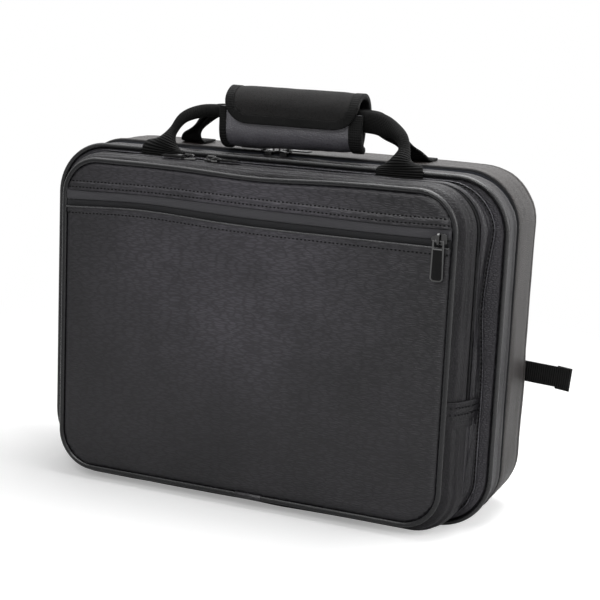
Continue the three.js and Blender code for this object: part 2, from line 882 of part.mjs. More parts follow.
// A pull lying along +X from its eye bar, in the slider's frame
function pullSolid(length) {
  const outline = new THREE.Shape();
  const back = -pullEyeBar / 2;
  const soft = pullEndWidth / 5;
  outline.moveTo(back, -pullTopWidth / 2);
  outline.lineTo(length - soft, -pullEndWidth / 2);
  outline.lineTo(length, soft - pullEndWidth / 2);
  outline.lineTo(length, pullEndWidth / 2 - soft);
  outline.lineTo(length - soft, pullEndWidth / 2);
  outline.lineTo(back, pullTopWidth / 2);
  const eye = new THREE.Path();
  const eyeFrom = pullEyeBar / 2;
  const eyeTo = eyeFrom + pullEyeLength;
  eye.moveTo(eyeFrom, -pullEyeWidth / 2);
  eye.lineTo(eyeTo, -pullEyeWidth / 2);
  eye.lineTo(eyeTo, pullEyeWidth / 2);
  eye.lineTo(eyeFrom, pullEyeWidth / 2);
  outline.holes.push(eye);
  const geometry = new THREE.ExtrudeGeometry(outline, { depth: pullThickness, bevelEnabled: false });
  geometry.translate(0, 0, -pullThickness / 2);
  return solidOf(geometry);
}

// Shoulder strap: a padded strip that leaves the patch, bows outwards and ends at its buckle
function shoulderStrap(side) {
  const top = strapPatchTop - strapPatchHeight - gap;
  const bow = THREE.MathUtils.lerp(strapEndHeight, top, strapBowShare);
  const half = strapWidth / 2;
  const outline = new THREE.Shape();
  outline.moveTo(side * (strapTopX - half), top);
  outline.quadraticCurveTo(side * (strapBowX - half), bow, side * (strapEndX - half), strapEndHeight + half / 2);
  outline.lineTo(side * (strapEndX - half / 2), strapEndHeight);
  outline.lineTo(side * (strapEndX + half / 2), strapEndHeight);
  outline.lineTo(side * (strapEndX + half), strapEndHeight + half / 2);
  outline.quadraticCurveTo(side * (strapBowX + half), bow, side * (strapTopX + half), top);
  return slab(outline, shellBack + gap, strapThickness, strapBevel);
}

const buckleTop = strapEndHeight - gap;
const buckleBottom = buckleTop - buckleHeight;
const buckleMiddle = (buckleTop + buckleBottom) / 2;

// Ladder-lock buckle: a frame with a middle bar
function ladderLock(side) {
  const centre = side * strapEndX;
  const half = buckleWidth / 2;
  const outline = roundedOutline(centre - half, centre + half, buckleBottom, buckleTop, buckleRim);
  const slotHalfWidth = half - buckleRim;
  const slot = (z0, z1) =>
    box(centre - slotHalfWidth, centre + slotHalfWidth, 0, caseWidth, z0, z1);
  return slab(outline, shellBack + gap, buckleThickness)
    .subtract(slot(buckleBottom + buckleRim, buckleMiddle - buckleBar / 2))
    .subtract(slot(buckleMiddle + buckleBar / 2, buckleTop - buckleRim));
}

// Webbing from the corner anchor up to the buckle's lower bar
function lowerWeb(side) {
  const start = new THREE.Vector2(side * anchorX, anchorHeight);
  const end = new THREE.Vector2(side * strapEndX, buckleBottom - gap);
  const run = end.clone().sub(start).normalize();
  const across = new THREE.Vector2(-run.y, run.x).multiplyScalar(tailWebWidth / 2);
  const outline = new THREE.Shape([
    start.clone().add(across),
    start.clone().sub(across),
    new THREE.Vector2(end.x + tailWebWidth / 2, end.y),
    new THREE.Vector2(end.x - tailWebWidth / 2, end.y),
  ]);
  return slab(outline, shellBack + 2 * gap + anchorThickness, tailWebThickness);
}

// A leather patch over the bottom corner that the lower webbing is sewn to
const anchorShares = [[-0.5, -0.3], [0.2, -0.3], [0.35, -0.1], [0.35, 0.25], [-0.5, 0.05]];

function lowerAnchor(side) {
  const corners = anchorShares.map(
    ([across, rise]) => new THREE.Vector2(side * (anchorX + across * anchorSize), anchorHeight + rise * anchorSize),
  );
  return slab(new THREE.Shape(corners), shellBack + gap, anchorThickness);
}

// The free end of the webbing, run outwards past the case's side, with a folded hem
const tailBase = strapEndX + buckleWidth / 2 + gap;
const tailY = shellBack + 2 * gap;

function strapTail(side) {
  const z0 = buckleMiddle - tailWebWidth / 2;
  const z1 = buckleMiddle + tailWebWidth / 2;
  const end = strapEndX + tailLength;
  const span = (a, b) => [Math.min(side * a, side * b), Math.max(side * a, side * b)];
  const [x0, x1] = span(tailBase, end);
  const [h0, h1] = span(end - tailHemLength, end);
  const strip = box(x0, x1, tailY, tailY + tailWebThickness, z0, z1);
  return strip.add(box(h0, h1, tailY, tailY + 2 * tailWebThickness, z0, z1));
}

// The scene: one named mesh for each piece
const model = new THREE.Group();

function addPiece(parent, name, solid, look) {
  const [color, roughness, metalness] = looks[look];
  const material = new THREE.MeshStandardMaterial({ color, roughness, metalness });
  const mesh = new THREE.Mesh(geometryOf(solid), material);
  mesh.name = name;
  parent.add(mesh);
  return mesh;
}

const sides = { left: -1, right: 1 };

function addShell() {
  const shell = new THREE.Group();
  addPiece(shell, "rear_shell", rearShell(), "cover");
  addPiece(shell, "main_zip_rear", mainZip(zipPlane + gap / 2, shellFront - gap), "tape");
  addPiece(shell, "hinge_strip", hingeStrip(), "shade");
  jointLengths.forEach((_, row) => addPiece(shell, `insert_joint_${row + 1}`, jointRow(row), "lining"));
  addPiece(shell, "insert_bells", bellsBlock(), "lining");
  addPiece(shell, "insert_mouthpieces", mouthpieceBlock(), "lining");
  addPiece(shell, "insert_tray", accessoryBlock(), "lining");
  addPiece(shell, "rear_handle", rearHandle(), "webbing");
  addPiece(shell, "grip_wrap", gripWrap(), "shade");
  addPiece(shell, "grip_flap", gripFlap(), "shade");
  model.add(shell);
}

function addStraps() {
  const straps = new THREE.Group();
  const patch = roundedOutline(
    -strapPatchWidth / 2,
    strapPatchWidth / 2,
    strapPatchTop - strapPatchHeight,
    strapPatchTop,
    strapPatchHeight / 6,
  );
  addPiece(straps, "strap_patch", slab(patch, shellBack + gap, strapPatchThickness), "cover");
  for (const [name, side] of Object.entries(sides)) {
    addPiece(straps, `shoulder_strap_${name}`, shoulderStrap(side), "shade");
    addPiece(straps, `ladder_lock_${name}`, ladderLock(side), "plastic");
    addPiece(straps, `lower_web_${name}`, lowerWeb(side), "webbing");
    addPiece(straps, `lower_anchor_${name}`, lowerAnchor(side), "cover");
    addPiece(straps, `strap_tail_${name}`, strapTail(side), "webbing");
  }
  model.add(straps);
}

function addLid() {
  const lid = new THREE.Group();
  const zipHalf = pocketZipWidth / 2;
  addPiece(lid, "lid_shell", lidShell(), "cover");
  addPiece(lid, "lid_piping", piping(lidShape, lidPipingY), "piping");
  addPiece(lid, "lid_pad", lidPad(), "lining");
  addPiece(lid, "main_zip_front", mainZip(lidBack + gap, zipPlane - gap / 2), "tape");
  addPiece(lid, "front_handle", frontHandle(), "webbing");
  addPiece(lid, "pocket_gusset_rear", gussetRear(), "cover");
  addPiece(lid, "pocket_zip_rear", pocketZip(pocketZipY + gap / 2, pocketZipY + zipHalf - gap), "tape");
  addPiece(lid, "front_panel_lower", wholePanel().intersect(below(pocketZipEnd)), "cover");
  addPiece(
    lid,
    "front_piping_lower",
    piping(panelShape, panelPipingY).subtract(above(pocketZipEnd)),
    "piping",
  );
  for (const [name, side] of Object.entries(sides)) {
    addPiece(lid, `zip_end_tab_${name}`, endTab(side), "cover");
  }
  model.add(lid);
}

function addPocketFlap() {
  const flap = new THREE.Group();
  const zipHalf = pocketZipWidth / 2;
  addPiece(flap, "front_panel_upper", panelUpper(), "cover");
  addPiece(
    flap,
    "front_piping_upper",
    piping(panelShape, panelPipingY).subtract(below(pocketZipEnd + gap)),
    "piping",
  );
  addPiece(flap, "pocket_gusset_front", gussetFrontBand(), "cover");
  addPiece(flap, "pocket_zip_front", pocketZip(pocketZipY - zipHalf + gap, pocketZipY - gap / 2), "tape");
  addPiece(flap, "flat_welt_upper", welt(1), "cover");
  addPiece(flap, "flat_welt_lower", welt(-1), "cover");
  addPiece(flap, "flat_zip_coil", flatCoil(), "tape");
  model.add(flap);
}

// A slider with its pull in a group of its own: the pull's direction and the outward one place it
function addSlider(name, place, pullLength, neckDrop, bodyTurn = 0) {
  const group = new THREE.Group();
  const across = place.out.clone().cross(place.pull);
  group.setRotationFromMatrix(new THREE.Matrix4().makeBasis(place.pull, across, place.out));
  group.position.set(...place.at);
  addPiece(group, `${name}_slider`, sliderSolid(neckDrop, bodyTurn), "metal");
  const pull = addPiece(group, `${name}_pull`, pullSolid(pullLength), "metal");
  pull.position.set(pullPivotX, 0, pullPivotZ);
  model.add(group);
}

function addSliders() {
  const up = new THREE.Vector3(0, 0, 1);
  const mainPlate = caseHeight - edgeInset / 3 + gap;
  const mainDrop = mainPlate - (lidShape.top - coilInset) - gap;
  Object.entries(sides).forEach(([name, side], i) => {
    const pull = new THREE.Vector3(side, 0, 0);
    const mainPlace = { at: [mainSliderCentres[i], zipPlane, mainPlate], pull, out: up };
    const pocketPlace = { at: [pocketSliderCentres[i], pocketZipY, pocketZipTop() + gap], pull, out: up };
    addSlider(`main_${name}`, mainPlace, shortPullLength, mainDrop);
    addSlider(`pocket_${name}`, pocketPlace, shortPullLength, pocketCoilInset);
  });
  const flatPlace = {
    at: [slotHalf - sliderLength / 2, panelFront - weltProud - gap, flatZipHeight],
    pull: new THREE.Vector3(0, 0, -1),
    out: new THREE.Vector3(0, -1, 0),
  };
  addSlider("flat", flatPlace, longPullLength, weltProud + flatSlotDepth - flatCoilDepth - gap, Math.PI / 2);
}

// Height of the gusset's top at the pocket's zip
function pocketZipTop() {
  return Math.max(...gussetRing(pocketZipY, 0).map((point) => point.z));
}

addShell();
addStraps();
addLid();
addPocketFlap();
addSliders();

export default model;
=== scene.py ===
import math

import bmesh
import bpy
from mathutils import Matrix, Vector, noise
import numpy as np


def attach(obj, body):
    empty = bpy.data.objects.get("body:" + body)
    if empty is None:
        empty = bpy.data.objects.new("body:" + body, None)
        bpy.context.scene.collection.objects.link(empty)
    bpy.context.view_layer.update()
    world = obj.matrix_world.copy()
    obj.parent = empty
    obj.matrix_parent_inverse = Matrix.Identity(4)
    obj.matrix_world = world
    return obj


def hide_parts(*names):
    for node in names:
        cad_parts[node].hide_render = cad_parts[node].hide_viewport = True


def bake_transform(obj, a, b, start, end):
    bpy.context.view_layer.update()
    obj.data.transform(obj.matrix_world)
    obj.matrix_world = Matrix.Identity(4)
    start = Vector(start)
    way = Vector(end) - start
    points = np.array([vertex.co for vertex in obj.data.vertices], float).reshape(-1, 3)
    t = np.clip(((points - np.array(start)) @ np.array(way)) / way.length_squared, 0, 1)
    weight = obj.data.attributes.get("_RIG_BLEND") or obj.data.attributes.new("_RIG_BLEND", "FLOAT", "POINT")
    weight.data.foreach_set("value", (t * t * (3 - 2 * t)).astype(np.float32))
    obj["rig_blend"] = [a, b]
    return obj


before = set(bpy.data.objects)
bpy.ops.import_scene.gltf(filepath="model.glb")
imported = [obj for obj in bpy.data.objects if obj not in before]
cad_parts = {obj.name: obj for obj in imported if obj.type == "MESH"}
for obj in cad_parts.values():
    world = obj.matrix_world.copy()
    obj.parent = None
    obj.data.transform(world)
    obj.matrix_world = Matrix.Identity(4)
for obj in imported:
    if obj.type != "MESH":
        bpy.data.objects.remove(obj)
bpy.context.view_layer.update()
ops = bmesh.ops

# Studio: a white floor that keeps the case's shadow, a white surround and three broad soft lamps.
# The camera stands where the photographer stood, a little to the right and above.
camera_data = bpy.data.cameras.new("camera")
camera_data.lens = 88.65
camera_data.sensor_width = 36
camera = bpy.data.objects.new("camera", camera_data)
camera.matrix_world = Matrix((  # in columns: its right, up and back, and where it stands
    (0.91794, -0.11737, 0.37896, 0.473009),
    (0.39412, 0.16066, -0.90491, -1.122948),
    (0.04533, 0.98001, 0.19373, 0.392352),
    (0, 0, 0, 1),
))
bpy.context.scene.collection.objects.link(camera)
bpy.context.scene.camera = camera
bpy.context.scene.view_settings.view_transform = "Standard"


def add_node(tree, kind, inputs=None, **settings):
    """A new shader node: settings are its properties, inputs its sockets' values or what is linked to them."""
    made = tree.nodes.new("ShaderNode" + kind)
    for key, value in settings.items():
        setattr(made, key, value)
    for key, value in (inputs or {}).items():
        if isinstance(value, bpy.types.NodeSocket):
            tree.links.new(value, made.inputs[key])
        else:
            made.inputs[key].default_value = value
    return made


def value_of(tree, operation, a, b=0.0):
    return add_node(tree, "Math", {0: a, 1: b}, operation=operation).outputs[0]


def vector_of(tree, operation, a, b=(0, 0, 0)):
    """Vector maths on a and b, where b is a number if it scales a."""
    second = "Scale" if operation == "SCALE" else 1
    made = add_node(tree, "VectorMath", {0: a, second: b}, operation=operation)
    return made.outputs["Value" if operation in ("DOT_PRODUCT", "DISTANCE", "LENGTH") else "Vector"]


def ramp(tree, value, start, end, low=0.0, high=1.0, smooth=False):
    """A value carried over from the range start to end to the range low to high."""
    ends = {"Value": value, "From Min": start, "From Max": end, "To Min": low, "To Max": high}
    kind = "SMOOTHSTEP" if smooth else "LINEAR"
    return add_node(tree, "MapRange", ends, interpolation_type=kind).outputs[0]


def by_ray(tree, plain, glossy, seen):
    """One value for most rays, another for glossy ones and a third for what the camera sees."""
    rays = add_node(tree, "LightPath").outputs
    direct = value_of(tree, "MAXIMUM", rays["Is Camera Ray"], rays["Is Transmission Ray"])
    some = add_node(tree, "Mix", {"Factor": rays["Is Glossy Ray"], "A": plain, "B": glossy})
    whole = add_node(tree, "Mix", {"Factor": direct, "A": some.outputs["Result"], "B": seen})
    return whole.outputs["Result"]


def new_material(name):
    material = bpy.data.materials.new(name)
    material.use_nodes = True
    material.node_tree.nodes.clear()
    return material, material.node_tree


world = bpy.data.worlds.new("white surround")
world.use_nodes = True
tree = world.node_tree
tree.nodes.clear()
surround_light, surround_seen = 0.34, 1.0
place = add_node(tree, "TexCoord").outputs["Generated"]
walls = ramp(tree, vector_of(tree, "DOT_PRODUCT", place, (0.45, 0.3, 0.84)), -0.55, 0.75, 0.35, 1.5, True)
height = add_node(tree, "SeparateXYZ", {"Vector": place}).outputs["Z"]
mirrored = value_of(tree, "ADD", walls, ramp(tree, height, 0.8, 0.9, 0.0, 2.4, True))
strength = by_ray(tree, surround_light, mirrored, surround_seen)
surround = add_node(tree, "Background", {"Color": (1, 1, 1, 1), "Strength": strength})
add_node(tree, "OutputWorld", {"Surface": surround.outputs[0]})
bpy.context.scene.world = world

# the floor is plain paint near the case, lifted a little for the camera, and white light further out
floor_material, tree = new_material("white floor")
place = add_node(tree, "TexCoord").outputs["Object"]
far = ramp(tree, vector_of(tree, "LENGTH", place), 0.3, 0.75, smooth=True)
along = add_node(tree, "SeparateXYZ", {"Vector": place}).outputs["X"]
gleam = ramp(tree, along, 0.0, 1.0, 0.62, 1.4, True)
# painted light: the camera's lift grows toward the right, washing out the case's shadow on that side
floor_lift_painted_light = ramp(tree, along, 0.08, 0.24, 0.30, 0.68, True)
paint = add_node(tree, "BsdfDiffuse", {"Color": (0.8, 0.8, 0.8, 1)})
lift = add_node(tree, "Emission", {"Strength": by_ray(tree, 0.0, 0.0, floor_lift_painted_light)})
near_floor = add_node(tree, "AddShader", {0: paint.outputs[0], 1: lift.outputs[0]})
far_glow = add_node(tree, "Emission", {"Strength": by_ray(tree, 0.0, gleam, 1.0)})
far_seen = value_of(tree, "MULTIPLY", by_ray(tree, 0.0, 1.0, 1.0), far)
whole = add_node(tree, "MixShader", {0: far_seen, 1: near_floor.outputs[0], 2: far_glow.outputs[0]})
add_node(tree, "OutputMaterial", {"Surface": whole.outputs[0]})
bm = bmesh.new()
ops.create_grid(bm, x_segments=1, y_segments=1, size=8)
floor_mesh = bpy.data.meshes.new("floor")
bm.to_mesh(floor_mesh)
bm.free()
floor_mesh.materials.append(floor_material)
floor = bpy.data.objects.new("floor", floor_mesh)
bpy.context.scene.collection.objects.link(floor)

lamps = {
    "overhead lamp": ((0.16, 0.2, 1.5), (0, 0, 0.1), 1.0, 17),
    "front lamp": ((0.1, -1.3, 1.1), (0.02, -0.1, 0.2), 0.6, 7),
    "right lamp": ((1.9, 0.1, 1.0), (0, 0, 0.15), 1.2, 12),
}
for name, (stand, aim, size, power) in lamps.items():
    light = bpy.data.lights.new(name, "AREA")
    light.size = size
    light.energy = power
    lamp = bpy.data.objects.new(name, light)
    lamp.location = stand
    lamp.rotation_euler = (Vector(aim) - Vector(stand)).to_track_quat("-Z", "Y").to_euler()
    bpy.context.scene.collection.objects.link(lamp)


# Rear shell: foam board covered in black grained leather cloth, turned over softly at the back edge.
# Rings of its rounded outline are bridged from the mouth round the side to the middle of the back.
mm = 0.001
shell_shape = (194.25, 0, 278, 44)  # an outline's half width, bottom, top and corner radius
side_wall = 190


def standing_grid(bm, cells, half_width, half_height, middle):
    grid = ops.create_grid(bm, x_segments=cells[0], y_segments=cells[1], size=1)["verts"]
    ops.scale(bm, vec=(half_width, half_height, 1), verts=grid)
    ops.rotate(bm, cent=(0, 0, 0), matrix=Matrix.Rotation(math.pi / 2, 3, "X"), verts=grid)
    ops.translate(bm, vec=middle, verts=grid)
    return grid


def round_off(bm, geom, radius, segments, kind="VERTICES"):
    ops.bevel(bm, geom=geom, offset=radius, offset_type="OFFSET", segments=segments, profile=0.5, affect=kind,
              material=-1)


def outline(bm, shape, inset, y, corner=12, cuts=(18, 12)):
    """A closed loop of edges along a rounded rectangle that stands at depth y, give or take a hair, so that
    no two loops of a loft lie quite level and are bridged the wrong way round."""
    half_width, bottom, top, radius = shape
    hair, shortest_side = 0.006, 25
    known = set(bm.edges)
    middle = (0, y + hair * inset, (top + bottom) / 2)
    corners = standing_grid(bm, (1, 1), half_width - inset, (top - bottom) / 2 - inset, middle)
    round_off(bm, corners, max(radius - inset, 1.5), corner)
    fresh = [edge for edge in bm.edges if edge not in known]
    ops.delete(bm, geom=list({face for edge in fresh for face in edge.link_faces}), context="FACES_ONLY")
    straight = [edge for edge in fresh if edge.calc_length() > shortest_side]
    level = [edge for edge in straight if abs(edge.verts[0].co.z - edge.verts[1].co.z) < 1]
    upright = [edge for edge in straight if abs(edge.verts[0].co.x - edge.verts[1].co.x) < 1]
    ops.subdivide_edges(bm, edges=level, cuts=cuts[0])
    ops.subdivide_edges(bm, edges=upright, cuts=cuts[1])
    return [edge for edge in bm.edges if edge not in known]


def loft(bm, loops, closed=False):
    pairs = list(zip(loops, loops[1:])) + ([(loops[-1], loops[0])] if closed else [])
    for a, b in pairs:
        ops.bridge_loops(bm, edges=a + b)


def cap(bm, loop, cells=None, margin=9):
    """Closes a loop with a flat face, or with a grid of cells that has as many points round its rim."""
    if not cells:
        ops.contextual_create(bm, geom=loop)
        return
    spots = [vert.co for edge in loop for vert in edge.verts]
    low, high = [[pick(spot[axis] for spot in spots) for axis in (0, 1, 2)] for pick in (min, max)]
    known = set(bm.edges)
    half_width, _, half_height = [(b - a) / 2 - margin for a, b in zip(low, high)]
    middle = [(a + b) / 2 + lift for a, b, lift in zip(low, high, (0, 0.1, 0))]
    standing_grid(bm, cells, half_width, half_height, middle)
    ops.bridge_loops(bm, edges=loop + [edge for edge in bm.edges if edge not in known and edge.is_boundary])


def dish(shape, table, cells=None, margin=9, cuts=(18, 12), both_ends=False):
    """A new mesh: outlines down a table of insets and depths, bridged and closed at the last of them."""
    bm = bmesh.new()
    loops = [outline(bm, shape, inset, y, cuts=cuts) for inset, y in table]
    loft(bm, loops)
    cap(bm, loops[-1], cells, margin)
    if both_ends:
        cap(bm, loops[0])
    return bm


def new_group(name, inputs, outputs):
    group = bpy.data.node_groups.new(name, "ShaderNodeTree")
    for socket in inputs:
        group.interface.new_socket(socket, in_out="INPUT", socket_type="NodeSocketFloat")
    for socket in outputs:
        group.interface.new_socket(socket, in_out="OUTPUT", socket_type="NodeSocketFloat")
    return group, group.nodes.new("NodeGroupInput"), group.nodes.new("NodeGroupOutput")


def noise_of(tree, place, scale, detail, roughness=0.5):
    values = {"Vector": place, "Scale": scale, "Detail": detail, "Roughness": roughness}
    return add_node(tree, "TexNoise", values).outputs["Fac"]


def colour_of(tree, factor, dark, light):
    """A colour between two, each given as three numbers or as a socket."""
    dark, light = [(*end, 1) if isinstance(end, tuple) else end for end in (dark, light)]
    mixed = add_node(tree, "Mix", {"Factor": factor, "A": dark, "B": light}, data_type="RGBA")
    return mixed.outputs["Result"]


# the shared grain: long flat cells with fine creases between them, and slow changes of tone
grain, given, put = new_group("leather grain", ["Cells", "Stretch", "Crease"], ["Height", "Tone", "Wear", "Pad"])
place = add_node(grain, "TexCoord").outputs["Object"]
stretch = add_node(grain, "CombineXYZ", {"X": given.outputs["Stretch"], "Y": 1.0, "Z": 1.0})
laid = vector_of(grain, "MULTIPLY", place, stretch.outputs[0])
warp = add_node(grain, "TexNoise", {"Vector": place, "Scale": 110.0, "Detail": 2.0})
shift = vector_of(grain, "SUBTRACT", warp.outputs["Color"], (0.5, 0.5, 0.5))
bent = vector_of(grain, "ADD", laid, vector_of(grain, "SCALE", shift, 0.0013))
cells = add_node(grain, "TexVoronoi", {"Vector": bent, "Scale": given.outputs["Cells"], "Randomness": 0.9},
                 feature="DISTANCE_TO_EDGE")
pad = ramp(grain, cells.outputs["Distance"], 0.0, given.outputs["Crease"], smooth=True)
fine = value_of(grain, "MULTIPLY", noise_of(grain, bent, 900.0, 3.0), 0.2)
for name, value in {
    "Height": value_of(grain, "ADD", pad, fine),
    "Pad": pad,
    "Tone": noise_of(grain, place, 14.0, 4.0, 0.6),
    "Wear": ramp(grain, noise_of(grain, place, 60.0, 6.0, 0.7), 0.62, 0.8),
}.items():
    grain.links.new(value, put.inputs[name])


def finish_surface(tree, colour, roughness, relief=None, specular=0.5, sheen=(0.0, 0.5), metallic=0.0):
    """A material's shader and output. Relief is a height, its depth in metres and its strength, and sheen is
    its weight and its roughness."""
    inputs = {"Base Color": colour, "Roughness": roughness, "Specular IOR Level": specular, "Metallic": metallic,
              "Sheen Weight": sheen[0], "Sheen Roughness": sheen[1]}
    if relief:
        bump = add_node(tree, "Bump", dict(zip(("Height", "Distance", "Strength"), relief)))
        inputs["Normal"] = bump.outputs[0]
    shader = add_node(tree, "BsdfPrincipled", inputs)
    add_node(tree, "OutputMaterial", {"Surface": shader.outputs[0]})


def leather(name, dark, light, roughness, cells=620.0, stretch=0.34, crease=0.25, bump=0.00022, specular=0.5, low=0.4):
    """Grained leather cloth of two tones, its creases painted darker, a painted shade as deep as low says, and its
    grain bump metres deep.
    """
    material, tree = new_material(name)
    values = {"Cells": cells, "Stretch": stretch, "Crease": crease}
    surface = add_node(tree, "Group", values, node_tree=grain).outputs
    shade = colour_of(tree, ramp(tree, surface["Tone"], 0.3, 0.7), dark, light)
    # painted shade and highlight: the grain's creases are darkened down to low, and the cells' tops are lifted a little
    colour = vector_of(tree, "SCALE", shade, ramp(tree, surface["Pad"], 0.0, 1.0, low, 1.08))
    rough = ramp(tree, surface["Wear"], 0.0, 1.0, roughness, roughness + 0.08)
    finish_surface(tree, colour, rough, (surface["Height"], bump, 1.0), specular)
    return material


def mottled(name, dark, light, roughness, blotches, relief=None, tone_range=None, rough_range=(0.0, 1.0), **more):
    """A material of two tones mixed by noise, given as its scale, detail and roughness. Surface roughness is one
    value or a range, and relief is a finer noise, its depth in metres and its strength."""
    material, tree = new_material(name)
    place = add_node(tree, "TexCoord").outputs["Object"]
    if relief:
        relief = (noise_of(tree, place, *relief[0]), *relief[1:])
    mottle = noise_of(tree, place, *blotches)
    if isinstance(roughness, tuple):
        roughness = ramp(tree, mottle, *rough_range, *roughness)
    tone = ramp(tree, mottle, *tone_range) if tone_range else mottle
    finish_surface(tree, colour_of(tree, tone, dark, light), roughness, relief, **more)
    return material


def add_piece(name, bm, material, body, replaced=(), sharp=40, merge=0.01):
    """A mesh made in millimetres as a finished object that rides on a body, if it has one of its own."""
    ops.remove_doubles(bm, verts=bm.verts, dist=merge)
    ops.recalc_face_normals(bm, faces=bm.faces)
    ops.scale(bm, vec=(mm, mm, mm), verts=bm.verts)
    mesh = bpy.data.meshes.new(name)
    bm.to_mesh(mesh)
    bm.free()
    mesh.shade_smooth()
    mesh.set_sharp_from_angle(angle=math.radians(sharp))
    mesh.materials.append(material)
    made = bpy.data.objects.new(name, mesh)
    bpy.context.scene.collection.objects.link(made)
    if isinstance(body, str):
        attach(made, body)
    if replaced:
        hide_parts(*replaced)
    return made


def clamp(value):
    return min(1, max(0, value))


def close_lip(vert, edge, reach, by):
    """Brings a zip's lip forward over the zip, past the run of the sliders and above the cloth hinge."""
    x, y, z = vert.co
    near = clamp(1 - abs(y - edge) / reach)
    vert.co.y += by * near * (clamp((abs(x) - 152) / 18) * clamp((z - 19) / 8))


def soft(point, size, reach, seed):
    """A smooth push at a point, up to size, that changes over reach."""
    return size * noise.noise(Vector((point.x / reach, point.y / reach, point.z / reach)) + Vector((seed, 0, 0)))


def push_out(vert, push, top, rise):
    """Moves a point of the side walls out by push, and one above the top line up by rise times push."""
    vert.co.x += math.copysign(push, vert.co.x) if abs(vert.co.x) > side_wall else 0
    vert.co.z += push * rise if vert.co.z > top else 0


shell_leather = leather("shell leather", (0.0170, 0.0135, 0.0125), (0.0250, 0.0195, 0.0180), 0.42,
                        stretch=0.6, specular=0.3)
bm = dish(shell_shape, (
    (5.5, -32), (1.5, -32), (0.5, -31.2), (0, -29), (0.1, -26), (0, -22), (0.2, -18), (0, -13), (0.1, -8), (0.2, -2),
    (0, 3), (0.1, 8), (0.3, 11.5), (0.9, 13.6), (0.2, 15.6), (0.4, 18.5), (1.7, 23), (4.4, 27.2), (8.4, 30.2),
    (14, 31.9), (22, 32),
), (31, 25))
for vert in bm.verts:
    close_lip(vert, -32, 3, -0.1)
    inward = max(0, vert.co.y - 18) / 14
    vert.co.y += inward * soft(vert.co, 1.2, 60, 3) - 0.6 * inward
    if -28 < vert.co.y < 20:
        run = vert.co.z if abs(vert.co.x) > side_wall else vert.co.x
        push = soft(vert.co, 1.4, 45, 9) + 0.35 * noise.noise((vert.co.y / 5, run / 60, 2))
        push_out(vert, push, 272, 0.6)
shell_cover = add_piece("shell_cover", bm, shell_leather, "shell")

lining_cloth = mottled("shell lining", (0.012, 0.013, 0.018), (0.032, 0.035, 0.046), 0.95, (25.0, 4.0),
                       ((1800.0, 3.0), 0.0006, 0.7), sheen=(0.5, 0.4))
bm = dish(shell_shape, (
    (1.9, -31.9), (3.5, -32.3), (5.4, -31.9), (5.2, -20), (4.4, 0), (4, 12), (6, 20), (12, 27.4), (30, 27.6)))
add_piece("shell_lining", bm, lining_cloth, "shell", ["rear_shell"])

# Fitted insert: foam blocks covered in short navy plush, glued side by side in the rear shell, with a
# well for each joint, bell, barrel and mouthpiece, and an open tray. The covering rounds every edge over.
plush = mottled("plush", (0.016, 0.019, 0.032), (0.036, 0.042, 0.064), 0.97, (38.0, 5.0, 0.7),
                ((1500.0, 4.0), 0.0009, 0.8), sheen=(0.8, 0.35), tone_range=(0.35, 0.65))


def from_node(name):
    """A node's own shape in millimetres, its triangles merged back into whole faces."""
    bm = bmesh.new()
    bm.from_mesh(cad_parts[name].data)
    ops.scale(bm, vec=(1 / mm, 1 / mm, 1 / mm), verts=bm.verts)
    ops.remove_doubles(bm, verts=bm.verts, dist=0.02)
    ops.dissolve_limit(bm, angle_limit=math.radians(1), verts=bm.verts, edges=bm.edges)
    return bm


def soften_edges(made, width, segments, angle=30):
    rounding = made.modifiers.new("rounded edges", "BEVEL")
    rounding.width = width * mm
    rounding.segments = segments
    rounding.limit_method = "ANGLE"
    rounding.angle_limit = math.radians(angle)
    rounding.harden_normals = True


for node in [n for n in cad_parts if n.startswith("insert_")]:
    block = add_piece(node + "_plush", from_node(node), plush, "shell", [node], sharp=180)
    skin = block.modifiers.new("plush skin", "REMESH")
    skin.mode = "VOXEL"
    skin.voxel_size = 0.0016
    skin.use_smooth_shade = True
    relax = block.modifiers.new("soft edges", "SMOOTH")
    relax.iterations = 5

# Main zip: woven tape sewn to either side, with a nylon coil along the meeting edges. It runs round the
# top and both sides; the cloth hinge takes its place along the bottom.
lid_shape = (195, 0.3, 276, 44)


def ridges(tree, way, pitch):
    """A sine wave along a way, with one ridge to each pitch."""
    return value_of(tree, "SINE", value_of(tree, "MULTIPLY", way, 2 * math.pi / pitch))


def woven(name, dark, light, pitch=0.0009, depth=0.00025, roughness=0.85):
    """Plain cloth: two crossed sets of fine ridges, with slow changes of tone."""
    material, tree = new_material(name)
    place = add_node(tree, "TexCoord").outputs["Object"]
    parts = add_node(tree, "SeparateXYZ", {"Vector": place}).outputs
    warp = ridges(tree, value_of(tree, "ADD", parts["X"], parts["Y"]), pitch)
    weave = value_of(tree, "MULTIPLY", warp, ridges(tree, parts["Z"], pitch))
    colour = colour_of(tree, noise_of(tree, place, 45.0, 4.0), dark, light)
    finish_surface(tree, colour, roughness, (weave, depth, 0.6), 0.25, (0.05, 0.5))
    return material


tape_cloth = woven("zip tape", (0.006, 0.006, 0.007), (0.014, 0.014, 0.015))
# the shell's lip faces along the zip take the dark tape cloth: partly the real tape there, partly painted shade in the
# crevice
shell_cover.data.materials.append(tape_cloth)
for face in shell_cover.data.polygons:
    face.material_index = 1 if face.center.y < -0.0314 else 0
coil_nylon = mottled("zip coil", (0.006, 0.006, 0.007), (0.012, 0.012, 0.013), (0.3, 0.5), (300.0, 3.0), specular=0.25)


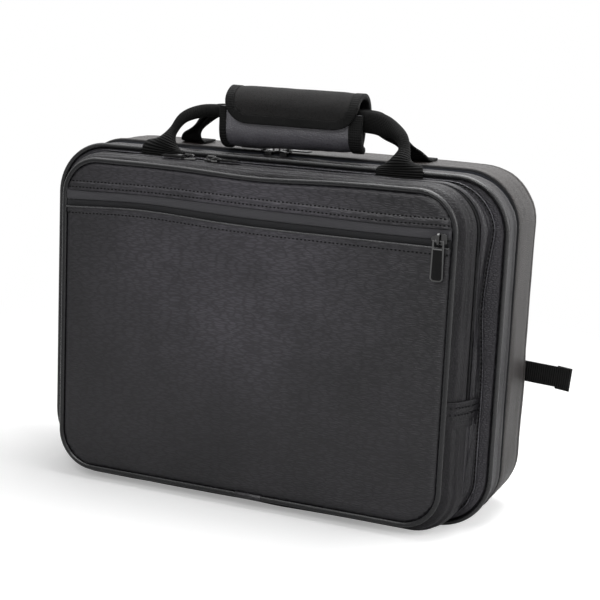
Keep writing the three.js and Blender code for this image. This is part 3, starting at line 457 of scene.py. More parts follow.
def walk(shape, inset, step):
    """Places along a rounded rectangle every step: x, z and the outward direction there."""
    half_width, bottom, top, radius = shape
    bend = max(radius - inset, 1.5)
    wide, low, high = half_width - inset - bend, bottom + inset + bend, top - inset - bend
    places, left = [], 0.0
    for quarter, (cx, cz) in enumerate(((wide, high), (-wide, high), (-wide, low), (wide, low))):
        run = 2 * wide if quarter % 2 else high - low
        for length, turns in ((run, False), (bend * math.pi / 2, True)):
            travel = left
            while travel < length:
                angle = quarter * math.pi / 2 + (travel / bend if turns else 0)
                nx, nz, back_off = math.cos(angle), math.sin(angle), 0 if turns else length - travel
                places.append((cx + bend * nx + back_off * nz, cz + bend * nz - back_off * nx, nx, nz))
                travel += step
            left = travel - length
    return places


def cut(bm, axis, at, **clear):
    """Cuts a mesh in a plane square to an axis, and can clear the inner or the outer side away."""
    normal = [int(k == axis) for k in range(3)]
    everything = bm.verts[:] + bm.edges[:] + bm.faces[:]
    ops.bisect_plane(bm, geom=everything, plane_co=[at * n for n in normal], plane_no=normal, **clear)


def band(shape, section, cuts, corner=14):
    """A new mesh: a closed band along an outline, its section a round of insets and depths."""
    bm = bmesh.new()
    loft(bm, [outline(bm, shape, inset, y, corner, cuts) for inset, y in section], closed=True)
    return bm


def add_teeth(zip_name, places, size, y, apart, bodies):
    """Small rounded blocks, long across the zip, that take turns on its rear and its front tape."""
    for k, word in enumerate(("rear", "front")):
        bm = bmesh.new()
        for x, z, nx, nz in places[k::2]:
            turn = Matrix.Rotation(math.atan2(-nx, nz), 4, "Y")
            spot = (x, y + (-apart if k else apart), z)
            where = Matrix.Translation(spot) @ turn.inverted() @ Matrix.Diagonal((*size, 1))
            ops.create_cone(bm, cap_ends=True, segments=6, radius1=0.5, radius2=0.36, depth=1, matrix=where)
        add_piece(f"{zip_name}_teeth_{word}", bm, coil_nylon, bodies[k], sharp=60, merge=0.0001)


zip_plane, zip_end, zip_inset, tape_in = -35, 18, 3.4, 1.3
for name, y0, y1, body, node in (("main_tape_rear", -34.9, -31.9, "shell", "main_zip_rear"),
                                 ("main_tape_front", -38.1, -35.1, "lid", "main_zip_front")):
    inner = zip_inset + tape_in
    bm = band(lid_shape, ((zip_inset, y0), (zip_inset, y1), (inner, y1), (inner, y0)), (4, 3))
    cut(bm, 2, zip_end, clear_inner=True)
    add_piece(name, bm, tape_cloth, body, [node])
teeth = [place for place in walk(lid_shape, zip_inset - 0.1, 0.75) if place[1] > zip_end + 1]
add_teeth("main", teeth, (0.75, 2.2, 1.4), zip_plane, 0.7, ("shell", "lid"))

# the cloth hinge folds in the middle; at the corners its ends are parted, and go with the shell and the lid
hinge_cloth = leather("hinge strip leather", (0.010, 0.010, 0.011), (0.014, 0.014, 0.015), 0.5)
hinge_end = 3.5
bm = band(lid_shape, (
    (0.1, -37.7), (0.6, -36.4), (0.0, -35), (0.6, -33.6), (0.1, -32.3), (1.5, -32.3), (1.5, -37.7)), (30, 3))
cut(bm, 2, hinge_end, clear_outer=True)
hinge_strip = add_piece("cloth_hinge", bm, hinge_cloth, None, ["hinge_strip"])
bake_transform(hinge_strip, "shell", "lid", start=(0, -0.0325, 0.002), end=(0, -0.0375, 0.002))
for name, near, away, body in (("hinge_end_rear", -34.97, -32.3, "shell"), ("hinge_end_front", -35.03, -37.7, "lid")):
    section = ((0.1, away), (0.6, (near + away) / 2), (0.1, near), (1.5, near), (1.5, away))
    bm = band(lid_shape, section, (4, 3))
    cut(bm, 2, hinge_end, clear_inner=True)
    cut(bm, 2, zip_end - 0.3, clear_outer=True)
    add_piece(name, bm, hinge_cloth, body)

# Lid: a shallow shell of the same board and leather cloth. Its side band is turned under at both edges, its
# face carries the pocket, and a leather-covered cord is sewn round the front edge.
lid_leather = leather("lid leather", (0.021, 0.0200, 0.0228), (0.031, 0.0293, 0.0330), 0.44, stretch=0.5, specular=0.3)
# painted light: a lighter copy of the lid leather for the face strip, lifting it out of the pocket's shade
lid_face_painted_light = leather("lid face painted light", (0.033, 0.0316, 0.0362), (0.045, 0.0428, 0.0490), 0.44,
                           stretch=0.5, specular=0.3, low=0.7)
bm = dish(lid_shape, (
    (5.8, -38.1), (2.7, -38), (1.2, -38.7), (0.9, -40.2), (1.8, -42.6), (2.0, -44.4), (2.0, -46.2), (2.0, -48),
    (2.0, -49.8), (2.0, -51.6), (2.0, -53.4), (2.1, -55), (1.4, -56.6), (1.6, -58), (2.8, -58.6),
    (4.7, -58.6), (4.7, -61.3), (5.4, -62), (10, -62.1), (20, -62),
), (43, 33), cuts=(30, 20))
for vert in bm.verts:
    close_lip(vert, -38, 2.4, 0.9)
    if vert.co.y > -57:
        push = soft(vert.co, 0.8, 30, 21) + 0.25 * math.sin(vert.co.y * 1.75 + 2 * noise.noise(vert.co / 60))
        push_out(vert, push, 270, 1)
lid_cover = add_piece("lid_cover", bm, lid_leather, "lid")
lid_cover.data.materials.append(lid_face_painted_light)
# faces in front of the lid's piping take the lighter, painted-light copy
for face in lid_cover.data.polygons:
    face.material_index = 1 if face.center.y < -0.0605 else 0
bm = dish(lid_shape, ((5.7, -38), (6.1, -40), (6, -54), (7, -58), (12, -59), (30, -59)))
add_piece("lid_lining", bm, lining_cloth, "lid", ["lid_shell"])


def bead(shape, y, radius, corner=16, cuts=(40, 28)):
    """A round cord along an outline."""
    sides = 12
    turns = [2 * math.pi * k / sides for k in range(sides)]
    return band(shape, [(radius * (1 + math.cos(a)), y + radius * math.sin(a)) for a in turns], cuts, corner)


piping_leather = leather("piping leather", (0.010, 0.010, 0.011), (0.015, 0.015, 0.016), 0.2,
                         cells=900, stretch=0.8, bump=0.00006)
add_piece("lid_edge_cord", bead(lid_shape, -61, 2.2), piping_leather, "lid", ["lid_piping"], sharp=80)

# the lid's cushion is quilted: its skin dips along the seams of a grid
bm = dish(lid_shape, (
    (9.5, -58.6), (7.2, -57.2), (6.5, -55.4), (7, -53.6), (9, -52.2), (13, -51.3), (22, -50.8), (28, -50.7),
), (61, 45), 4, (48, 32), both_ends=True)
quilt_left, quilt_wide, quilt_foot, quilt_high, seam_depth = -195, 78, 2, 68, 1.1
for vert in bm.verts:
    if vert.co.y > -53:
        u, v = (vert.co.x - quilt_left) / quilt_wide, (vert.co.z - quilt_foot) / quilt_high
        dent = min(abs(math.sin(math.pi * u)), abs(math.sin(math.pi * v)))
        vert.co.y -= seam_depth * (1 - dent) ** 6
lid_cushion = add_piece("lid_cushion", bm, plush, "lid", ["lid_pad"], sharp=70)

# Pocket gusset: one long strip of leather cloth round the pocket, sewn to the lid's face by a stitched flange
# and slit for the zip round the top and both sides. It bags out a little and is lined with thin cloth.
flange_shape = (180, 8.1, 268, 34)
panel_shape = (167, 8, 268, 32)
flange_y, panel_y, pocket_zip_y = -63.5, -98.6, -79
pocket_zip_end = 101.3
fold_start, fold_end = (0, -0.103, 0.094), (0, -0.103, 0.108)
thread = mottled("dark thread", (0.002, 0.002, 0.0022), (0.007, 0.007, 0.0075), 0.75, (2500.0, 2.0), specular=0.1)


def ease(value):
    """A smooth step from 0 to 1 as the value runs from 0 to 1."""
    value = clamp(value)
    return value * value * (3 - 2 * value)


def hump(offset, width):
    """A round hump, 1 high in its middle."""
    return math.exp(-(offset / width) ** 2)


def gusset_at(y):
    """The gusset's outline at a depth, and how far it stands inside that outline."""
    share = (flange_y - y) / (flange_y - panel_y)
    bag = math.sin(math.pi * clamp(share))
    half_width, bottom, top, radius = (a + (b - a) * share for a, b in zip(flange_shape, panel_shape))
    tuck = 3.2 * ease((share - 0.82) / 0.14)
    return (half_width, bottom - 5 * bag, top, radius), 1.5 * share - 3 * bag + tuck


def inside_by(shape, x, z):
    """How far a point lies inside a rounded rectangle."""
    half_width, bottom, top, radius = shape
    px = abs(x) - (half_width - radius)
    pz = abs(z - (top + bottom) / 2) - ((top - bottom) / 2 - radius)
    return radius - math.hypot(max(px, 0), max(pz, 0)) - min(max(px, pz), 0)


def sag(x, z):
    """How far the top of the pocket sinks in the middle."""
    return -3.0 * hump(x - 5, 52) * ease((z - 244) / 22)


def gusset_ring(bm, y, lift=0, cuts=(56, 44)):
    shape, inset = gusset_at(y)
    return outline(bm, shape, inset + lift, y, 16, cuts)


def ripple_gusset(bm, seed, nearest, furthest):
    """Merges the strip's rings and gives its cloth waves that die out toward its two edges."""
    ops.remove_doubles(bm, verts=bm.verts, dist=0.01)
    ops.recalc_face_normals(bm, faces=bm.faces)
    bm.normal_update()
    for vert in bm.verts:
        x, y, z = vert.co
        free = min(1, abs(y - nearest) / 4, abs(y - furthest) / 4)
        run = x if z > 240 or z < 40 else z
        waves = 0.5 * math.sin(y * 0.95 + 2.4 * noise.noise((run / 55, seed, 0)))
        waves += 0.9 * noise.noise((run / 40, y / 4, seed))
        vert.co += vert.normal * (waves * free)


def settle(x, y, z):
    """How far the sewn flange runs in on the right side, and out again at the upper corner."""
    share = ease((y + 76) / 8) * ease((x - 140) / 20)
    return share * (3.6 * hump(z - 178, 34) - 1.6 * hump(z - 238, 17))


def end_slit(bm, side):
    """Opens the zip's slit above the zip's end; the strip lies behind it if side is 1, and before it if -1."""
    edge_y = pocket_zip_y + 2.7 * side
    cut(bm, 2, pocket_zip_end)
    cut(bm, 1, edge_y)
    middles = [(face, face.calc_center_median()) for face in bm.faces]
    gone = [face for face, middle in middles if (middle.y - edge_y) * side < 0 and middle.z > pocket_zip_end]
    ops.delete(bm, geom=gone, context="FACES")


def thicken(made, thickness, offset=-1.0, lining=None):
    """Gives a sheet its thickness, and the side that it adds the lining's material."""
    wall = made.modifiers.new("thickness", "SOLIDIFY")
    wall.thickness = thickness * mm
    wall.offset = offset
    if lining:
        made.data.materials.append(lining)
        wall.material_offset = 1


def add_stitches(name, places, size, body):
    """Short rounded stitches: each place is a point, the way the row runs and the way the cloth faces."""
    bm = bmesh.new()
    for point, run, out in places:
        run, out = Vector(run).normalized(), Vector(out).normalized()
        turn = Matrix((run, out.cross(run), out)).transposed().to_4x4()
        where = Matrix.Translation(point) @ turn @ Matrix.Diagonal((*size, 1)) @ Matrix.Rotation(math.pi / 2, 4, "Y")
        ops.create_uvsphere(bm, u_segments=6, v_segments=4, radius=0.5, matrix=where)
    return add_piece(name, bm, thread, body, sharp=80, merge=0.0001)


gusset_leather = leather("gusset leather", (0.009, 0.0083, 0.0102), (0.018, 0.0168, 0.0198), 0.36,
                         cells=560, stretch=0.7, bump=0.00016, specular=0.22)
# painted light: a lighter copy of the gusset leather for its rear half, behind the zip, against the shade of the pocket
# and lid
gusset_rear_painted_light = leather("gusset leather painted lighter", (0.017, 0.0162, 0.0190), (0.030, 0.0285, 0.0335), 0.36,
                        cells=560, stretch=0.7, bump=0.00016, specular=0.34)
# a light leather for the flange's outer rim: a painted highlight along its edge
flange_rim_highlight = leather("flange edge painted highlight", (0.085, 0.083, 0.092), (0.12, 0.117, 0.13), 0.25,
                         cells=900, stretch=0.8, bump=0.00006)
bm = bmesh.new()
flange = [outline(bm, flange_shape, inset, y, 16, (56, 44)) for inset, y in (
    (-2.9, -63.0), (-2.9, -64.2), (-2.5, -64.8), (-1.9, -64.2), (-1.4, -63.7), (-0.8, -63.9), (-0.2, -64.3))]
loft(bm, flange + [gusset_ring(bm, -64.8 - 0.95 * k) for k in range(16)])
ripple_gusset(bm, 4, -64.0, -76.3)
for vert in bm.verts:
    x, y, z = vert.co
    if x > 150:
        crease = hump(z - 25 - 0.6 * (y + 70), 3.5) * hump(y + 72, 7)
        fall = clamp((92 - z) / 62)
        fold = hump(y + 67 + 4.2 * fall, 1.5 + 1.8 * fall) * clamp((z - 19) / 9)
        vert.co.x -= 2.4 * crease + (0.4 + 5.2 * fall) * ease(fall / 0.15) * fold + settle(x, y, z)
end_slit(bm, 1)
gusset_rear = add_piece("gusset_rear", bm, gusset_rear_painted_light, "lid", ["pocket_gusset_rear"], sharp=60)
thicken(gusset_rear, 1.3, lining=lining_cloth)
gusset_rear.data.materials.append(flange_rim_highlight)
# the rim faces outside the flange's outline take the painted highlight
for face in gusset_rear.data.polygons:
    x, y, z = face.center / mm
    if -64.9 < y and inside_by(flange_shape, x + settle(x, y, z), z) < -2.1:
        face.material_index = 2

bm = bmesh.new()
loft(bm, [gusset_ring(bm, pocket_zip_y - 0.05 - 0.98 * k) for k in range(21)])
ripple_gusset(bm, 7, -81.7, -98.6)
for vert in bm.verts:
    vert.co.z += sag(vert.co.x, vert.co.z) * clamp((-82 - vert.co.y) / 14)
end_slit(bm, -1)
gusset_front = add_piece("gusset_front", bm, gusset_leather, None, ["pocket_gusset_front"], sharp=60)
thicken(gusset_front, 1.3, lining=lining_cloth)
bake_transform(gusset_front, "lid", "pocket_flap", start=fold_start, end=fold_end)
seam = walk(flange_shape, -1.3, 3.3)
places = [((x - settle(x, -64, z), -64.05, z), (-nz, 0, nx), (0, -1, 0)) for x, z, nx, nz in seam]
add_stitches("flange_stitches", places, (2.2, 1.1, 0.9), "lid")

# Pocket zip: the same woven tape and nylon coil, sewn under both edges of the slit. Each tape is a closed band
# that follows the gusset's own outline, cut off level where the zip ends.
for name, y0, y1, body, node in (("pocket_tape_rear", -75.2, -78.9, "lid", "pocket_zip_rear"),
                                 ("pocket_tape_front", -79.1, -82.8, "pocket_flap", "pocket_zip_front")):
    bm = bmesh.new()
    section = ((1.5, y0), (1.3, y1), (2.2, y1), (2.4, y0))
    loft(bm, [gusset_ring(bm, y, lift, (20, 16)) for lift, y in section], closed=True)
    cut(bm, 2, pocket_zip_end, clear_inner=True)
    add_piece(name, bm, tape_cloth, body, [node])
shape, inset = gusset_at(pocket_zip_y)
teeth = [place for place in walk(shape, inset + 1.1, 0.85) if place[1] > pocket_zip_end + 1]
add_teeth("pocket", teeth, (0.8, 2.0, 1.2), pocket_zip_y, 0.6, ("lid", "pocket_flap"))

# Zip ends: on each side the lower gusset laps up over the end of the zip in a folded edge held by two rows
# of stitches. It is in two halves, so that the front one can turn with the pocket's front.
tab_foot, tab_rise = 88.5, 20.5
tab_rows, tab_stitch_step = (98.8, 104.4), 2.9


def swept(columns, rows, place, yarns=False, bm=None):
    """A strip of cells, each corner put where place(run, across) says, both from 0 to 1. With yarns, place also
    says how far along and across its tape the corner lies."""
    bm = bmesh.new() if bm is None else bm
    floats = bm.verts.layers.float
    layers = [floats.get(word) or floats.new(word) for word in ("run", "across")] if yarns else []
    for vert in ops.create_grid(bm, x_segments=columns, y_segments=rows, size=0.5)["verts"]:
        spot = place(vert.co.x + 0.5, vert.co.y + 0.5)
        if yarns:
            spot, vert[layers[0]], vert[layers[1]] = spot
        vert.co = spot
    return bm


for side, word in ((-1, "left"), (1, "right")):
    for part, y0, y1, body, replaced in (("rear", -65.2, -78.9, "lid", [f"zip_end_tab_{word}"]),
                                         ("front", -79.0, -98.4, None, [])):
        def tab_place(across, rise):
            y, z = y0 + (y1 - y0) * across, tab_foot + tab_rise * rise
            shape, inset = gusset_at(y)
            puff = 1.1 * abs(math.sin(math.pi * (z - 93.2) / 5.6))
            lift = 0.2 + 0.9 * rise + puff * rise + 0.15 * noise.noise((y / 4, z / 4, side))
            return (side * (shape[0] - inset + lift), y, z)

        bm = swept(12, 12, tab_place)
        ops.solidify(bm, geom=bm.faces[:], thickness=0.8)
        tab = add_piece(f"zip_end_{part}_{word}", bm, gusset_leather, body, replaced, sharp=50)
        rows = []
        for z in tab_rows:
            y = y0 - 1.2
            while y > y1 + 1:
                shape, inset = gusset_at(y)
                lift = 1.0 + 0.9 * (z - tab_foot) / 16
                rows.append(((side * (shape[0] - inset + lift), y, z), (0, 1, 0), (side, 0, 0)))
                y -= tab_stitch_step
        row = add_stitches(f"zip_end_stitches_{part}_{word}", rows, (2.1, 1.0, 1.0), body)
        if part == "front":
            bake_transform(tab, "lid", "pocket_flap", start=fold_start, end=fold_end)
            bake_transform(row, "lid", "pocket_flap", start=fold_start, end=fold_end)

# Pocket front: a padded panel of leather cloth with fine level creases, slit across for a flat zip. The slit's
# edges are turned under and sewn down, and the cloth sinks and bows a little with use.
front_leather = leather("front leather", (0.023, 0.0215, 0.0262), (0.049, 0.0455, 0.0545), 0.43,
                        cells=580, stretch=0.21, crease=0.3, bump=0.00015, specular=0.42, low=0.6)
tree = front_leather.node_tree
place = add_node(tree, "TexCoord").outputs["Object"]
# painted light and shade: the colour is lifted near a spot high on the pocket's front and darkened away from it
painted_light_pool = ramp(tree, vector_of(tree, "DISTANCE", place, (-0.01, -0.1, 0.21)), 0.03, 0.17, 1.24, 0.40, True)
front_lit_colour = vector_of(tree, "SCALE", tree.nodes["Vector Math"].outputs[0], painted_light_pool)
tree.links.new(front_lit_colour, tree.nodes["Principled BSDF"].inputs["Base Color"])
slit_low, slit_high = 225.5, 239.5
upper_rows, lower_rows = (247.5, 242.6), (220.6,)


def bow(x, z):
    """How far the slit and its rows of stitches run above a level line."""
    low = 4.0 * hump(x + 95, 62)
    high = 1.9 * hump(x + 80, 70) - 1.1 * hump(x - 112, 40)
    share = clamp((z - slit_low) / (243 - slit_low))
    fade = clamp((268 - z) / 20) * clamp((z - 150) / 75)
    return (low + (high - low) * share) * fade


def panel_front(x, z):
    """The panel's front face: turned down round the edge, full in the middle, pulled in along the stitches."""
    edge = inside_by(panel_shape, x, z)
    y = -100.2 - 2.3 * ease((edge - 3.4) / 3.2) - 0.5 * ease((edge - 6) / 26)
    y -= 0.5 * hump(edge - 7.5, 1.4)
    for row in upper_rows + lower_rows:
        y += 0.3 * hump(z - row, 1.0)
    upper_hem = ease((z - slit_high + 0.3) / 0.8) * ease((249 - z) / 4)
    lower_hem = ease((slit_low + 0.3 - z) / 0.8) * ease((z - 218) / 4)
    y -= 0.9 * (upper_hem + lower_hem)
    y += 0.5 * noise.noise((x / 60, z / 42, 11)) * ease((edge - 8) / 20)
    y += 0.12 * noise.noise((x / 9, z / 6, 5)) * ease((edge - 6) / 10)
    return y


bm = bmesh.new()
cap(bm, outline(bm, panel_shape, 3.2, 0, 20, (2, 2)))
for z in [12 + 4 * k for k in range(53)] + [215 + 0.7 * k for k in range(54)] + [254, 256, 258, 260, 262]:
    cut(bm, 2, z)
for k in range(93):
    cut(bm, 0, -161 + 3.5 * k)
slit = [face for face in bm.faces if slit_low < face.calc_center_median().z < slit_high]
ops.delete(bm, geom=slit, context="FACES")
for vert in bm.verts:
    x, _, z = vert.co
    vert.co = (x, panel_front(x, z), z + bow(x, z) + sag(x, z))
ops.recalc_face_normals(bm, faces=bm.faces)
if sum(face.normal.y for face in bm.faces) > 0:
    ops.reverse_faces(bm, faces=bm.faces)
front_nodes = ["front_panel_upper", "front_panel_lower", "flat_welt_upper", "flat_welt_lower"]
front = add_piece("pocket_front", bm, front_leather, None, front_nodes, sharp=60)
thicken(front, 1.6, lining=lining_cloth)
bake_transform(front, "lid", "pocket_flap", start=fold_start, end=fold_end)

# Front piping: a cord in a glossy leather sleeve, sewn in round the pocket's front. The sleeve's ends lap at
# the bottom, under a short cover.
sleeve_leather = leather("sleeve leather", (0.007, 0.007, 0.0085), (0.011, 0.011, 0.0125), 0.12,
                         cells=900, stretch=0.8, bump=0.00005, specular=0.42)
bm = bead(panel_shape, -101.1, 2.2, 20, (70, 60))
for vert in bm.verts:
    vert.co.z += sag(vert.co.x, vert.co.z)
cord_nodes = ["front_piping_upper", "front_piping_lower"]
front_cord = add_piece("front_cord", bm, sleeve_leather, None, cord_nodes, sharp=80)
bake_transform(front_cord, "lid", "pocket_flap", start=fold_start, end=fold_end)
bm = bmesh.new()
where = Matrix.Translation((8.5, -101.2, 10.2)) @ Matrix.Rotation(math.pi / 2, 4, "Y")
ops.create_cone(bm, cap_ends=True, segments=20, radius1=2.6, radius2=2.6, depth=23, matrix=where)
ends = [edge for edge in bm.edges if edge.calc_length() < 1]
round_off(bm, ends, 0.5, 2, "EDGES")
add_piece("front_cord_cover", bm, front_leather, "lid", sharp=50)

# Flat zip: a reversed coil zip whose two smooth tapes meet in a closed line. It is sewn behind the slit in
# the pocket's front, and its ends run in under the piping.
# the two tapes are one cloth: the upper copy is painted light, and the lower is painted shade under the slit's lip
upper_tape_painted_light = woven("upper zip tape painted light", (0.050, 0.049, 0.054), (0.070, 0.069, 0.075), 0.0013, 0.0004, 0.7)
lower_tape_painted_shade = woven("lower zip tape painted shade", (0.012, 0.012, 0.0135), (0.020, 0.020, 0.022), 0.0013, 0.0004, 0.7)
zip_line = 231.6
first_stitch, stitch_step, stitch_count = -160, 3.3, 98


def tape_place(z_from, z_to, y_from, y_to, swell):
    def place(run, across):
        x, z = -162.5 + 325 * run, z_from + (z_to - z_from) * across
        y = y_from + (y_to - y_from) * across - swell * math.sin(math.pi * across)
        return (x, y + 0.12 * noise.noise((x / 7, z / 3, 2)), z + bow(x, z))
    return place


for name, cloth, ends, replaced in (
    ("flat_tape_upper", upper_tape_painted_light, (zip_line + 0.15, 241.5, -102.2, -101.9, 0.9), ["flat_zip_coil"]),
    ("flat_tape_lower", lower_tape_painted_shade, (zip_line - 0.15, 223.5, -101.9, -100.9, 0.5), []),
):
    tape = add_piece(name, swept(120, 8, tape_place(*ends)), cloth, "pocket_flap", replaced)
    thicken(tape, 0.6)
for name, rows in (("flat_stitches_upper", upper_rows), ("flat_stitches_lower", lower_rows)):
    places = []
    for z in rows:
        for k in range(stitch_count):
            x = first_stitch + stitch_step * k
            slope = (bow(x + 1, z) - bow(x - 1, z)) / 2
            places.append(((x, panel_front(x, z) - 0.1, z + bow(x, z) + sag(x, z)), (1, 0, slope), (0, -1, 0)))
    add_stitches(name, places, (2.0, 1.15, 0.8), "pocket_flap")


def hem_place(run, across):
    x, turn, radius = -162 + 324 * run, 2 * math.pi * across, 0.75
    return (x, -103.9 - radius * math.cos(turn), slit_low + bow(x, slit_low) + radius * math.sin(turn))


# a light leather on the slit's lower hem: a painted highlight along its edge
hem_highlight_leather = leather("hem painted highlight", (0.05, 0.05, 0.052), (0.075, 0.075, 0.078), 0.25,
                      cells=900, stretch=0.8, bump=0.00006)
add_piece("slit_hem", swept(120, 8, hem_place), hem_highlight_leather, "pocket_flap", sharp=80)

# Sliders and pulls: die-cast zinc, plated dark and bright. Each pull hangs from its slider's bridge, and its
# flat faces are sunk between raised rims.
slider_metal = mottled("plated zinc", (0.06, 0.06, 0.062), (0.13, 0.129, 0.127), (0.1, 0.26), (260.0, 5.0, 0.7),
                       metallic=1.0, rough_range=(0.3, 0.75))
sunk_enamel = mottled("black enamel", (0.005, 0.005, 0.0055), (0.008, 0.008, 0.008), (0.3, 0.5), (400.0, 4.0),
                      specular=0.12)


def recoloured(material, name, *greys):
    """A copy of a material whose first mix runs between other greys."""
    made = material.copy()
    made.name = name
    for socket, grey in zip(("A", "B"), greys):
        made.node_tree.nodes["Mix"].inputs[socket].default_value = (grey, grey, grey, 1)
    return made


black_nickel = recoloured(slider_metal, "black nickel", 0.03, 0.03)
bright_nickel = recoloured(slider_metal, "bright nickel", 0.15, 0.15)
for zip_name in ("main_left", "main_right", "pocket_left", "pocket_right", "flat"):
    node = f"{zip_name}_slider"
    slider = add_piece(f"{node}_body", from_node(node), slider_metal, node, [node], sharp=30)
    soften_edges(slider, 0.35, 3)
    node = f"{zip_name}_pull"
    bm = from_node(node)
    broad = sorted(bm.faces, key=lambda face: -face.calc_area())[:2]
    ops.inset_region(bm, faces=broad, thickness=1.0, depth=-0.22, use_even_offset=True)
    for face in broad:
        face.material_index = 1
    pull_metal = bright_nickel if zip_name == "flat" else black_nickel
    pull = add_piece(f"{node}_tag", bm, pull_metal, node, [node], sharp=30)
    pull.data.materials.append(sunk_enamel)
    soften_edges(pull, 0.16, 2, 50)

# Carrying straps: two loops of ribbed nylon webbing, one sewn to the lid and one to the rear shell. Each leaves
# its flat sewn base and is gathered into a round before the grip.
webbing, tree = new_material("ribbed webbing")
run_read, across_read = (
    add_node(tree, "Attribute", attribute_name=word).outputs["Fac"] for word in ("run", "across"))
place = add_node(tree, "TexCoord").outputs["Object"]
rise = add_node(tree, "SeparateXYZ", {"Vector": place}).outputs["Z"]
drawn = ramp(tree, rise, 0.284, 0.298, 1.0, 0.25, True)
rib = value_of(tree, "MULTIPLY", ridges(tree, run_read, 1.75), drawn)
yarn = value_of(tree, "MULTIPLY", ridges(tree, across_read, 0.9), 0.25)
fuzz = value_of(tree, "MULTIPLY", noise_of(tree, place, 900.0, 3.0), 0.5)
height = value_of(tree, "ADD", value_of(tree, "ADD", rib, yarn), fuzz)
# painted highlight and shade: the colour follows the ribs' height, crowns lighter and hollows darker; the binding tape
# copy keeps it
shade = colour_of(tree, ramp(tree, rib, -1.0, 1.0), (0.0018, 0.0018, 0.0018), (0.0075, 0.0075, 0.0073))
colour = colour_of(tree, noise_of(tree, place, 50.0, 4.0), shade, (0.005, 0.005, 0.005))
finish_surface(tree, colour, 0.62, (height, 0.00035, 0.9), 0.08, (0.02, 0.4))
binding_tape = recoloured(webbing, "binding tape", 0.007, 0.022)
handle_middle, half_span, grip_half = 5, 101.5, 64
web_wide, web_round = 38, math.radians(335)
# rows down a strap: how far it has run, risen, leaned over, turned, been gathered, and lies down on the case
middle_row = [half_span / (half_span - grip_half), 1, 1, 1, 1, 0]
front_table = [
    [0, 0, 0, 0, 0, 0], [0.01, 0.19, 0, 0, 0.1, 0], [0.06, 0.36, 0.12, 0.07, 0.62, 0], [0.14, 0.56, 0.36, 0.2, 0.95, 0],
    [0.3, 0.82, 0.62, 0.46, 1, 0], [0.62, 0.96, 0.86, 0.78, 1, 0], [1, 1, 1, 1, 1, 0], [1.8, 1, 1, 1, 1, 0], middle_row,
]
rear_table = [
    [0.08, 0, 0, 0, 0, 1], [0.08, 0, 0.42, 0, 0, 1], [0.12, 0.08, 0.6, 0.02, 0.1, 0.6],
    [0.22, 0.28, 0.72, 0.14, 0.5, 0.15], [0.36, 0.5, 0.8, 0.3, 0.9, 0], [0.54, 0.72, 0.88, 0.5, 1, 0],
    [0.78, 0.92, 0.95, 0.76, 1, 0], [1, 1, 1, 1, 1, 0], [1.8, 1, 1, 1, 1, 0], middle_row,
]


def row_at(table, share):
    """The table's row at a fractional place, on a smooth curve through its rows."""
    spot = min(share * (len(table) - 1), len(table) - 1.0001)
    k, t = int(spot), spot - int(spot)
    near = [table[min(max(k + step, 0), len(table) - 1)] for step in (-1, 0, 1, 2)]
    return [0.5 * (2 * b + (c - a) * t + (2 * a - 5 * b + 4 * c - d) * t * t + (3 * b - a - 3 * c + d) * t ** 3)
            for a, b, c, d in zip(*near)]


def gathered_web(bm, table, side, base, grip, facing, sewn, flare):
    """Half of a strap, from its base to the middle of the grip, rolled up across its width as it goes."""
    columns, rows = 96, 20
    quarter = math.pi / 2
    stations, travelled = [], [0.0]
    for k in range(columns + 1):
        share = k / columns
        run, rise, lean, turn, fold, lie = row_at(table, share)
        run -= flare * hump(share - 0.42, 0.16) if side > 0 else 0
        middle = Vector((handle_middle + side * (half_span + (grip_half - half_span) * run),
                         base[0] + (grip[0] - base[0]) * lean, base[1] + (grip[1] - base[1]) * rise))
        wide = Vector((-side * math.cos(turn * quarter), 0, -math.sin(turn * quarter)))
        out = facing * Vector((0, math.cos(lie * quarter), math.sin(lie * quarter)))
        broad = sewn + (1 - sewn) * ease((share - 0.3 * (1 - sewn) / 0.4) / 0.3)
        broad *= 1 - (0.26 if side > 0 else 0.4) * fold - 0.2 * hump(share - 0.37, 0.11)
        tall = 1 + (0.62 if side > 0 else 0.1) * ease((run - 0.12) / 0.5)
        stations.append((middle, wide, out, clamp(fold), broad, tall))
        if k:
            travelled.append(travelled[-1] + (middle - stations[-2][0]).length)

    def web_place(run, across):
        k, across = round(run * columns), across - 0.5
        middle, wide, out, fold, broad, tall = stations[k]
        ahead = (stations[min(k + 1, columns)][0] - stations[max(k - 1, 0)][0]).normalized()
        wide = (wide - ahead * wide.dot(ahead)).normalized()
        out = (out - ahead * out.dot(ahead) - wide * out.dot(wide)).normalized()
        bend = max(fold * web_round, 0.02)
        radius, angle = web_wide * broad / bend, across * bend
        level = math.sin(bend / 2) / (bend / 2)
        spot = middle + wide * (tall * radius * math.sin(angle))
        return spot + out * (0.82 / tall * radius * (math.cos(angle) - level)), travelled[k], across * web_wide

    swept(columns, rows, web_place, True, bm)


for name, table, base, grip, facing, body, sewn, flare in (
    ("front_handle", front_table, (-64.9, 269.3), (-42.65, 308), -1, "lid", 1, 0.15),
    ("rear_handle", rear_table, (2, 279.4), (-31.95, 308), 1, "shell", 0.6, 0),
):
    bm = bmesh.new()
    for side in (-1, 1):
        gathered_web(bm, table, side, base, grip, facing, sewn, flare)
    strap = add_piece(f"{name}_web", bm, webbing, body, [name], sharp=80, merge=0.05)
    thicken(strap, 1.9, 0.0)

